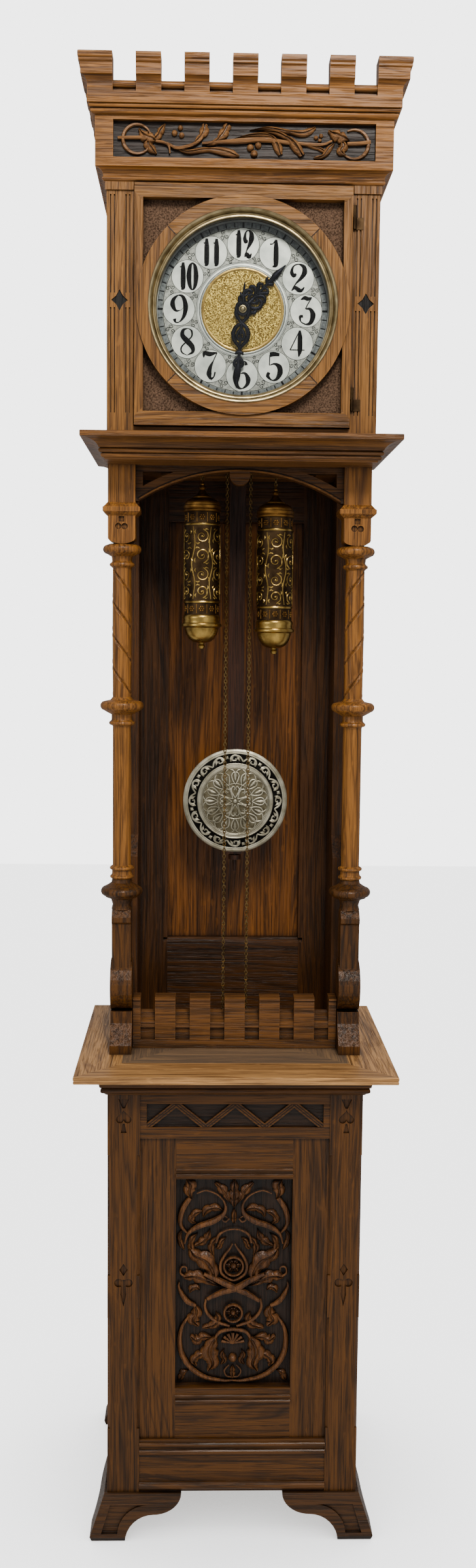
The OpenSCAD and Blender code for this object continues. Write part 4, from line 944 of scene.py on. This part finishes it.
dial_ring("gilt_rim", brass, [(61, 0.5), (61.4, -0.15), (63.4, -0.6), (65.4, -0.2), (65.9, 0.5)])
print("dial drawn:", len(STROKES), "digits")

# %% [markdown]
# Small parts that repeat at even steps, such as minute marks and chain links, are set out by one Geometry
# Nodes group: it walks a line, sets a copy of a shape at every step and turns each copy against the last.
# The result is baked to a plain mesh.

# %% Repeating along a line
def repeater():
    tree = bpy.data.node_groups.new("repeat_along_line", "GeometryNodeTree")
    for name, kind in (("Line", "Geometry"), ("Shape", "Object"), ("Spacing", "Float"), ("Turn", "Float"),
                       ("Finish", "Material")):
        tree.interface.new_socket(name, in_out="INPUT", socket_type="NodeSocket" + kind)
    tree.interface.new_socket("Result", in_out="OUTPUT", socket_type="NodeSocketGeometry")
    made = {}
    for key, kind in (("in", "NodeGroupInput"), ("curve", "GeometryNodeMeshToCurve"),
                      ("points", "GeometryNodeCurveToPoints"), ("shape", "GeometryNodeObjectInfo"),
                      ("index", "GeometryNodeInputIndex"), ("angle", "ShaderNodeMath"),
                      ("spin", "FunctionNodeAxisAngleToRotation"), ("turn", "FunctionNodeRotateRotation"),
                      ("set", "GeometryNodeInstanceOnPoints"), ("real", "GeometryNodeRealizeInstances"),
                      ("finish", "GeometryNodeSetMaterial"), ("out", "NodeGroupOutput")):
        made[key] = tree.nodes.new(kind)
    made["points"].mode = "LENGTH"
    made["angle"].operation = "MULTIPLY"
    made["turn"].rotation_space = "LOCAL"
    for a, out, b, into in (
            ("in", "Line", "curve", 0), ("curve", 0, "points", 0), ("in", "Spacing", "points", "Length"),
            ("in", "Shape", "shape", "Object"), ("index", 0, "angle", 0), ("in", "Turn", "angle", 1),
            ("angle", 0, "spin", "Angle"), ("points", "Rotation", "turn", 0), ("spin", 0, "turn", 1),
            ("points", 0, "set", "Points"), ("shape", "Geometry", "set", "Instance"),
            ("turn", 0, "set", "Rotation"), ("set", 0, "real", 0), ("real", 0, "finish", 0),
            ("in", "Finish", "finish", "Material"), ("finish", 0, "out", 0)):
        tree.links.new(made[a].outputs[out], made[b].inputs[into])
    return tree


repeat_group = repeater()


def repeat_along(name, points, shape, spacing, turn, finish, body, ring=False):
    line = bpy.data.meshes.new(name + "_line")
    edges = [(i, i + 1) for i in range(len(points) - 1)] + ([(len(points) - 1, 0)] if ring else [])
    line.from_pydata(points, edges, [])
    carrier = shown(name + "_line", line)
    layer = carrier.modifiers.new("repeat", "NODES")
    layer.node_group = repeat_group
    ids = {s.name: s.identifier for s in repeat_group.interface.items_tree if s.in_out == "INPUT"}
    for key, value in (("Shape", shape), ("Spacing", spacing), ("Turn", turn), ("Finish", finish)):
        layer[ids[key]] = value
    mesh = baked(carrier)
    carrier.modifiers.remove(layer)
    bpy.data.objects.remove(carrier)
    made = shown(name, mesh)
    mesh.name = name
    if not mesh.materials:
        mesh.materials.append(finish)
    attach(made, body)
    return made


def loose_shape(name, bm):
    bmesh.ops.recalc_face_normals(bm, faces=bm.faces)
    mesh = bpy.data.meshes.new(name)
    bm.to_mesh(mesh)
    bm.free()
    return bpy.data.objects.new(name, mesh)


def circle_points(r, y, z, count):
    return [(r * math.sin(q), y, z + r * math.cos(q)) for q in round_angles(count)]


def bar(wide, tall, deep):
    bm = bmesh.new()
    bmesh.ops.create_cube(bm, size=1.0)
    for v in bm.verts:
        v.co = (v.co.x * wide, v.co.y * deep, v.co.z * tall)
    return bm


minute_ring = circle_points(131.2 * MM, dial_front - 0.8 * MM, dial_z, 240)
length = sum((Vector(a) - Vector(b)).length for a, b in zip(minute_ring, minute_ring[1:] + minute_ring[:1]))
tick = loose_shape("tick", bar(0.4 * MM, 1.5 * MM, 7.4 * MM))
minute_marks = repeat_along("minute_marks", minute_ring, tick, length / 59.5, 0.0, ink, "case", ring=True)
hour_tick = loose_shape("hour_tick", bar(0.6 * MM, 3.0 * MM, 7.8 * MM))
repeat_along("hour_marks", minute_ring, hour_tick, length / 11.5, 0.0, ink, "case", ring=True)
bpy.data.objects.remove(hour_tick)
print("minute marks:", len(minute_marks.data.polygons) // 6)

# %% [markdown]
# The hands are sawn from sheet steel into open scrollwork and blued. Each is drawn pointing up, then turned
# to its resting angle about the middle of the dial, which is also its joint's axis.

# %% Hands
def hand(name, y, angle, draw, body):
    work = Carving(on_panel(y, 0.0, dial_z, math.radians(angle)))
    draw(work)
    made = work.piece(name, blued, body)
    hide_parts(body)
    return made


def both(work, points, thick, **more):
    for drawn in (points, mirrored(points)):
        work.stem(drawn, thick, 0.5, **more)


def thicker(work, share):
    """Makes every stroke drawn from here on this much thicker."""
    plain = work.stem
    work.stem = lambda points, thick, *rest, **more: plain(
        points, [t * share for t in thick] if hasattr(thick, "__len__") else thick * share, *rest, **more)


def draw_hour(work):
    thicker(work, 1.5)
    work.ring(0, 0, 7.4, 2.2, 0.5)
    work.ring(0, 0, 3.6, 1.6, 0.4)
    work.stem([(0, 8), (0, 30), (0, 60)], (3.4, 1.5, 1.8), 0.5)
    both(work, [(0, 10), (9, 12), (16, 19), (15, 28), (9, 30), (8, 24), (11, 22)],
         (1.8, 2.2, 2.2, 2, 1.6, 1.2, 1))
    both(work, [(0, 24), (4, 34), (11, 38), (16, 34), (13, 30)], (1.4, 1.9, 1.9, 1.6, 1))
    both(work, [(0, 34), (6, 42), (10, 46), (6, 50), (1, 48)], (1.4, 1.8, 1.8, 1.5, 1))
    both(work, [(4, 8), (12, 6), (17, 11), (14, 15)], (1.6, 1.9, 1.7, 1))
    both(work, [(2, 18), (6, 20), (7, 26), (3, 28)], (1.3, 1.5, 1.4, 1))
    both(work, [(0, 56), (5, 60), (7, 64)], (1.6, 1.8, 0.8))
    work.stem([(0, 58), (0.4, 66), (0, 76), (0, 97)], (2, 2.4, 3.4, 0.4), 0.4)


def draw_minute(work):
    thicker(work, 1.45)
    work.ring(0, 0, 8.6, 2.4, 0.5)
    both(work, [(0, -10), (7, -8), (10, 0), (9, 10), (4, 17), (0, 22)], (1.6, 2, 2.2, 2.2, 1.8, 1.8))
    both(work, [(0, 22), (8, 28), (12, 38), (10, 48), (4, 56), (0, 62)], (1.8, 2.2, 2.4, 2.2, 1.8, 1.6))
    both(work, [(0, 30), (4, 36), (6, 43), (3, 48), (1, 44)], (1.2, 1.7, 1.7, 1.3, 0.9))
    work.stem([(0, 20), (0, 60), (0, 84)], (1.8, 1.4, 2.2), 0.5)
    both(work, [(0, 67), (4, 68), (6.4, 71)], (1.8, 1.8, 0.9))
    both(work, [(0, 76), (5, 80), (7, 86), (3, 90), (1, 86)], (1.5, 1.9, 1.8, 1.3, 0.9))
    work.stem([(0, 84), (0.5, 94), (0, 104), (0, 118)], (2.4, 3.6, 3, 0.6), 0.4)
    work.stem([(0, -8), (0, -24), (0, -42)], (2, 1.5, 0.7), 0.5)
    both(work, [(0, -20), (4, -22), (6, -26)], (1.4, 1.5, 0.7))


hour_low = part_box("hour_hand")[0]
minute_low, minute_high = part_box("minute_hand")
HAND_PLANE = 3.6 * MM
hand("hour_hand_work", hour_low[1] + 0.6 * MM, 44, draw_hour, "hour_hand")
hand("minute_hand_work", minute_low[1] + HAND_PLANE, 184, draw_minute, "minute_hand")
turned("hour_pipe", [(3.3, 0.2), (5.2, 0.2), (5.2, 17), (3.3, 17)], (0, hour_low[1], dial_z), "Y",
       old_brass, "hour_hand", 32, tube=True)
reach = (minute_high[1] - minute_low[1]) / MM
turned("minute_arbor",
       [(2.9, 3), (2.9, reach - 64), (25, reach - 64), (25, reach - 62), (2.9, reach - 62), (2.9, reach)],
       (0, minute_low[1], dial_z), "Y", old_brass, "minute_hand", 48)
turned("hand_nut", [(1.2, -3.6), (2.6, -3.4), (3.6, -2.6), (4.2, -1.5), (6, -1), (6.2, 0.5), (5.2, 1)],
       (0, minute_low[1] + HAND_PLANE, dial_z), "Y", pale_brass, "minute_hand", 32)
print("hands sawn; their arbors turn about", round(dial_z, 3), "m")

# %% [markdown]
# The bezel is spun brass with a stepped face. It's made again here so that it catches light as a smooth
# curve.

# %% Bezel
bezel_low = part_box("bezel")[0]
ring_profile = [(147.8, 15), (136.2, 15), (136.2, 7.5), (137.4, 7.5), (137.4, 5), (136.2, 5), (136.4, 3),
                (137.4, 1.8), (139.4, 2.2), (140.2, 1.0), (141.6, 0.6), (142.6, 1.2), (143.4, 0),
                (144, -3.0), (145, -5.0), (146.4, -6.0), (148, -6.2), (149.2, -5.4), (149.6, -4.4),
                (149.2, -4), (147.8, -3.9)]
spun = turned("spun_bezel", ring_profile, (0, bezel_low[1] + 7 * MM, dial_z), "Y", pale_brass, "door", 160,
              sharp=30, tube=True)
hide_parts("bezel")
print("bezel from", ring_profile[1][0], "to", ring_profile[-3][0], "mm radius")

# %% [markdown]
# Each weight is a lead-filled shell: a turned finial and cap, a dark band with rosettes, a bronze sleeve
# with gilt scrolls raised on it, a second band, a bright flange and a domed foot. The scrolls are drawn
# flat and wrapped round the drum.

# %% Weights
SLEEVE_R, BAND_R = 30, 29.2
PARTS = {
    "foot": (brass, [
        (0.5, -255), (4, -254), (6, -250), (4, -246.5), (5, -244.5), (14, -243), (21, -238.5), (26, -231),
        (28.6, -223), (29, -219), (31, -217.6), (34.2, -216.4), (34.6, -214), (33.6, -211.8),
        (31.4, -210.6), (31, -206), (32, -203), (31.4, -199), (29.6, -197)]),
    "low_band": (bronze, [(28, -197.5), (29.2, -197), (29.2, -177), (28, -176.5)]),
    "low_ring": (brass, [(28.6, -177.4), (30.8, -177), (31.4, -175.6), (30.8, -174), (29.6, -173.6)]),
    "sleeve": (bronze, [(28, -174.6), (30, -174), (30, -47), (28, -46.6)]),
    "top_ring": (brass, [(29.2, -47.6), (30.8, -47), (31.4, -45.4), (30.8, -44), (28.6, -43.6)]),
    "top_band": (bronze, [(28, -44.4), (29.2, -44), (29.2, -24), (28, -23.6)]),
    "cap": (old_brass, [
        (28.6, -24.6), (31.4, -23.6), (32, -21), (30.8, -18.6), (32, -16.4), (31.8, -14), (29.4, -12.6),
        (29.6, -10), (27, -5.4), (22, -2.4), (17, -0.6), (16.6, 1.4), (11, 4), (7.4, 8), (5.4, 12),
        (4, 13.6), (5.6, 16), (5.2, 19), (3, 21.4), (3.6, 23), (2.4, 25), (2, 30.6), (0.5, 31)]),
}


def sleeve_scrolls(work):
    """Six columns of scrolls round the shell; every other one is flipped."""
    around = 2 * math.pi * SLEEVE_R / 6
    for k in range(6):
        a0, flip = k * around, 1 if k % 2 else -1
        for b0, size, start in ((-66, 12, 100), (-98, 13, -80), (-130, 12, 100), (-158, 11, -80)):
            way = flip if start > 0 else -flip
            pts = spiral(0, 0, size, size * 0.2, start, 1.35)
            work.stem([(a0 + way * u, b0 + v) for u, v in pts], (1.2, 1.1, 0.9, 0.7), 0.7, 0.3, 5, 2)
            for q in (20, 110, 200, 290):
                u, v = size * 0.95 * math.cos(math.radians(q)), size * 0.95 * math.sin(math.radians(q))
                work.stem([(a0 + way * (u * out - v * lean), b0 + v * out + u * lean)
                           for out, lean in ((1, 0), (1.25, 0.25), (1.2, 0.6))],
                          (0.6, 1.7, 0.3), 0.6, 0.3, 5, 2)
            work.berry(a0, b0, 2.2, 0.6, 7)
        a0 += around / 2
        wave = ((0, -50), (3, -80), (-3, -112), (3, -142), (0, -171))
        work.stem([(a0 + sway * flip, b) for sway, b in wave],
                  (0.6, 1.2, 1.2, 1.2, 0.6), 0.7, 0.3, 5, 4)


def rosettes(work, b):
    count = 10
    for k in range(count):
        a = 2 * math.pi * BAND_R * k / count
        for q in range(6):
            w = math.radians(60 * q)
            work.berry(a + 3.6 * math.cos(w), b + 3.6 * math.sin(w), 1.7, 0.5, 6)
        work.berry(a, b, 1.5, 0.9, 6)
        a += math.pi * BAND_R / count
        work.stem([(a, b - 7.5), (a, b), (a, b + 7.5)], (0.9, 0.5, 0.9), 0.6, 0.1, 4, 2)


for side in ("left", "right"):
    node = "weight_" + side
    low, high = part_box(node)
    x, y, top = (low[0] + high[0]) / 2, (low[1] + high[1]) / 2, high[2] - 31 * MM
    for part, (finish, profile) in PARTS.items():
        shell = turned(node + "_" + part, profile, (x, y, top), "Z", finish, node, 56)
        if part == "sleeve":
            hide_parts(node)
    scrolls = Carving(on_drum(x, y, top, SLEEVE_R))
    sleeve_scrolls(scrolls)
    scrolls.piece(node + "_scrolls", brass, node)
    bands = Carving(on_drum(x, y, top, BAND_R))
    for b in (-34, -187):
        rosettes(bands, b)
    bands.piece(node + "_rosettes", old_brass, node)
print("weights made in", len(PARTS), "turned parts each")

# %% [markdown]
# The bob is a thin silvered lens. Its face is engraved and the lines filled with black wax: a plain rim, a
# band of leaf scrolls on black, two rings, and a lace of arabesques on a duller silver in the middle. The
# raised silver is laid on those two grounds.

# %% Pendulum bob
bob_low, bob_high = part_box("bob")
bob_y, bob_z = (bob_low[1] + bob_high[1]) / 2, (bob_low[2] + bob_high[2]) / 2
bob_r = (bob_high[2] - bob_low[2]) / 2 / MM


def dome(r):
    """How far the bob's face stands out at this radius."""
    return 13.5 - 10.0 * (r / 93) ** 2


def on_bob(a, b, h):
    return (a * MM, bob_y - (dome(math.hypot(a, b)) + h) * MM, bob_z + b * MM)


def face_rings(name, finish, steps):
    """A ring that follows the bob's face, from [radius, height above the face] steps."""
    bm = bmesh.new()
    bridge(bm, [[on_bob(r * math.cos(q), r * math.sin(q), lift) for q in round_angles(128)]
                for r, lift in steps], True)
    make(name, bm, finish, "pendulum", 25)


front = [(r, inset - dome(r)) for r, inset in ((1, 1.2), (30, 1.2), (60, 1.2), (85, 1.0))]
edge = [(bob_r - 1.5, 0.4 - dome(91)), (bob_r, -1.6), (bob_r, 0)]
back = [(bob_r - 0.3, 1.4), (bob_r - 2, 3), (65, 9), (28, 13.6), (1, 14.4)]
shell = turned("bob_shell", front + edge + back, (0, bob_y, bob_z), "Y", bronze, "pendulum", 128)
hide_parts("bob")
face_rings("bob_rim", old_silver, [(84.6, -1.4), (84.6, 0.5), (85.4, 0.9), (87, 0.9), (87.5, 0.5),
                                   (88.4, 0.9), (91, 0.9), (92.8, 0.1), (93, -1.6), (92, -1.8)])
face_rings("bob_rings", old_silver, [(60, -1.2), (60, 0.5), (60.7, 0.9), (61.6, 0.5), (62, 0.2),
                                     (65.6, 0.2), (66, 0.5), (66.8, 0.9), (67.8, 0.5), (68, -1.2)])
black_ground = metal("bob_wax", (30, 29, 26), (17, 16, 15), 0.6)
face_rings("bob_band_ground", black_ground,
           [(67.9, -1.3), (67.9, -0.5), (76, -0.5), (84.7, -0.5), (84.7, -1.3)])
wash = metal("bob_field", (128, 120, 96), (88, 80, 60), 0.5, 120.0)
face_rings("bob_centre_ground", wash, [(0.8, -1.3), (0.8, -0.7), (30, -0.7), (60.1, -0.6), (60.1, -1.3)])
lace = Carving(on_bob)


def polar(r, degrees):
    return r * math.sin(math.radians(degrees)), r * math.cos(math.radians(degrees))


def curl(q, way, path, thick, high, lift=0.05):
    """A stem whose points are a radius and so many degrees to one side of the line at q."""
    lace.stem([polar(r, q + d * way) for r, d in path], thick, high, lift, 5, 3)


for k in range(16):
    q = 22.5 * k
    way = 1 if k % 2 else -1
    curl(q, way, ((72, -11), (79, -6), (82, 1), (78, 6), (73, 4), (73, -1), (76.5, 0)),
         (1.2, 1.7, 1.7, 1.5, 1.2, 1, 0.7), 0.4, 0.1)
    for d, r0, r1, lean in ((-7, 71, 81, 5), (2, 81, 71, 5), (8, 71, 80, -3), (9, 82, 76, 4)):
        path = [polar(r0 + (r1 - r0) * out, q + (d + lean * bend) * way)
                for out, bend in ((0, 0), (0.5, 0.6), (1, 1))]
        lace.leaf(path, (0.8, 2.8, 0.5), 1.4, 0.9, steps=8)
for k in range(16):
    q = 22.5 * k
    for way in (1, -1):
        curl(q, way, ((30, 0), (38, 7), (47, 8), (52, 3), (48, 0.5), (44.5, 3)),
             (0.7, 1.1, 1.1, 0.9, 0.8, 0.6), 0.45)
        curl(q, way, ((52, 1), (56, 5), (57.4, 9)), (0.8, 1.2, 0.4), 0.45)
    lace.leaf([polar(r, q) for r in (34, 44, 55)], (0.8, 2.6, 0.4), 2.4, 0.9, steps=10)
for k in range(8):
    q = 45 * k
    for way in (1, -1):
        curl(q, way, ((6, 0), (14, 18), (22, 20), (27, 8), (24, 2), (20, 6)), (0.8, 1.2, 1.2, 1, 0.8, 0.6),
             0.45)
    lace.leaf([polar(r, q + 22.5) for r in (8, 18, 30)], (0.8, 2.8, 0.5), 2.4, 0.9, steps=10)
for r in (31.5, 58.8):
    lace.ring(0, 0, r, 0.6, 0.6, 0.05, sides=4, steps=72)
lace.berry(0, 0, 4, 0.4)
lace.piece("bob_lace", old_silver, "pendulum")
print("bob faced;", round(bob_r), "mm radius")

# %% [markdown]
# The chains are bent wire links, each turned a quarter against the last so that the sprocket's teeth can
# take them. One link of a few dozen faces is repeated down every run, and hangs on the same bodies as the
# packed runs.

# %% Chains
def link(long, wide, wire, around=8, sides=4):
    rows = []
    for q in round_angles(around):
        middle = Vector((wide * math.cos(q), 0, long * math.sin(q)))
        out = Vector((math.cos(q), 0, math.sin(q)))
        rows.append([(middle + out * wire * math.cos(v) + Vector((0, wire * math.sin(v), 0))) * MM
                     for v in round_angles(sides)])
    bm = bmesh.new()
    bridge(bm, rows, True)
    return bm


LINK_PITCH = 5.4 * MM
link_shape = loose_shape("link", link(3.6, 2.2, 0.85))
chain_metal = metal("chain_metal", (190, 160, 104), (80, 64, 40), 0.3, 160.0, 0.5)
for node in ("chain_left", "chain_right", "weight_chain_left", "weight_chain_right"):
    low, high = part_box(node)
    x, y = (low[0] + high[0]) / 2, (low[1] + high[1]) / 2
    start = low[2] + (0.0155 if node.startswith("chain") else 0.001)
    body = node.replace("weight_chain", "weight")
    run = repeat_along(node + "_links", [(x, y, start), (x, y, high[2] - 0.002)], link_shape, LINK_PITCH,
                       math.pi / 2, chain_metal, body)
    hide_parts(node)
    if node.startswith("chain"):
        end = Carving(on_panel(y, x, 0.0))
        end.ring(0, low[2] / MM + 8.2, 7, 1.2, 1.0, sides=8, steps=28)
        end.piece(node + "_ring", chain_metal, body)
bpy.data.objects.remove(link_shape)
bpy.data.objects.remove(tick)
print("links in a free run:", len(run.data.polygons) // 32)

# %% [markdown]
# The clock stands on a pale floor, which carries a painted contact shadow, in even studio light. One broad
# lamp hangs in front and above, so that the mouldings cast their shadows down the trunk, and two weaker ones
# soften the sides.

# %% Floor and light
def lamp(name, place, aim, size, power, tint=(1, 1, 1)):
    data = bpy.data.lights.new(name, "AREA")
    data.shape, data.size, data.energy, data.color = "DISK", size, power, tint
    made = shown(name, data)
    made.location = place
    made.rotation_euler = (Vector(aim) - Vector(place)).to_track_quat("-Z", "Y").to_euler()
    return made


bpy.ops.mesh.primitive_plane_add(size=14, location=(0, 0, 0))
floor = bpy.context.object
floor.name = "studio_floor"
pale = Bench("studio_pale")
speck = pale.noise(pale.place, 3.0)
# For the camera the floor glows evenly white; an AO term paints a contact shadow round the clock.
painted_contact_shadow = pale.node("ShaderNodeAmbientOcclusion", {"samples": 8}, {"Distance": 0.35}, out="AO")
paint = pale.mix(speck * 0.1, shade(228, 228, 228), shade(220, 220, 220))
matt = pale.node("ShaderNodeBsdfDiffuse", None, [paint])
backdrop_with_painted_shadow = pale.mix(painted_contact_shadow, shade(120, 118, 115), shade(255, 255, 255))
seen = pale.node("ShaderNodeEmission", None, {"Color": backdrop_with_painted_shadow, "Strength": 3.2})
camera_ray = pale.node("ShaderNodeLightPath", out="Is Camera Ray")
mixed = pale.node("ShaderNodeMixShader", None, [camera_ray, matt, seen])
pale.node("ShaderNodeOutputMaterial", None, [mixed])
floor.data.materials.append(pale.finish)
key = lamp("key", (0.35, -2.9, 4.0), (0, 0, 1.5), 1.1, 120, (1, 0.96, 0.9))
fill = lamp("fill", (-2.6, -2.6, 2.2), (0, 0, 1.5), 2.0, 22, (0.96, 0.98, 1))
side_lamp = lamp("low", (1.6, -3.2, 1.0), (0, 0, 0.6), 2.2, 8)
world = bpy.data.worlds.new("studio")
world.use_nodes = True
sky = world.node_tree.nodes["Background"]
ray = world.node_tree.nodes.new("ShaderNodeLightPath")
level = world.node_tree.nodes.new("ShaderNodeMapRange")
level.inputs["To Min"].default_value, level.inputs["To Max"].default_value = 0.42, 4.0
world.node_tree.links.new(ray.outputs["Is Camera Ray"], level.inputs["Value"])
world.node_tree.links.new(level.outputs[0], sky.inputs[1])
sky.inputs[0].default_value = (1, 1, 1, 1)
bpy.context.scene.world = world
print("lamps:", [round(o.data.energy) for o in (key, fill, side_lamp)])
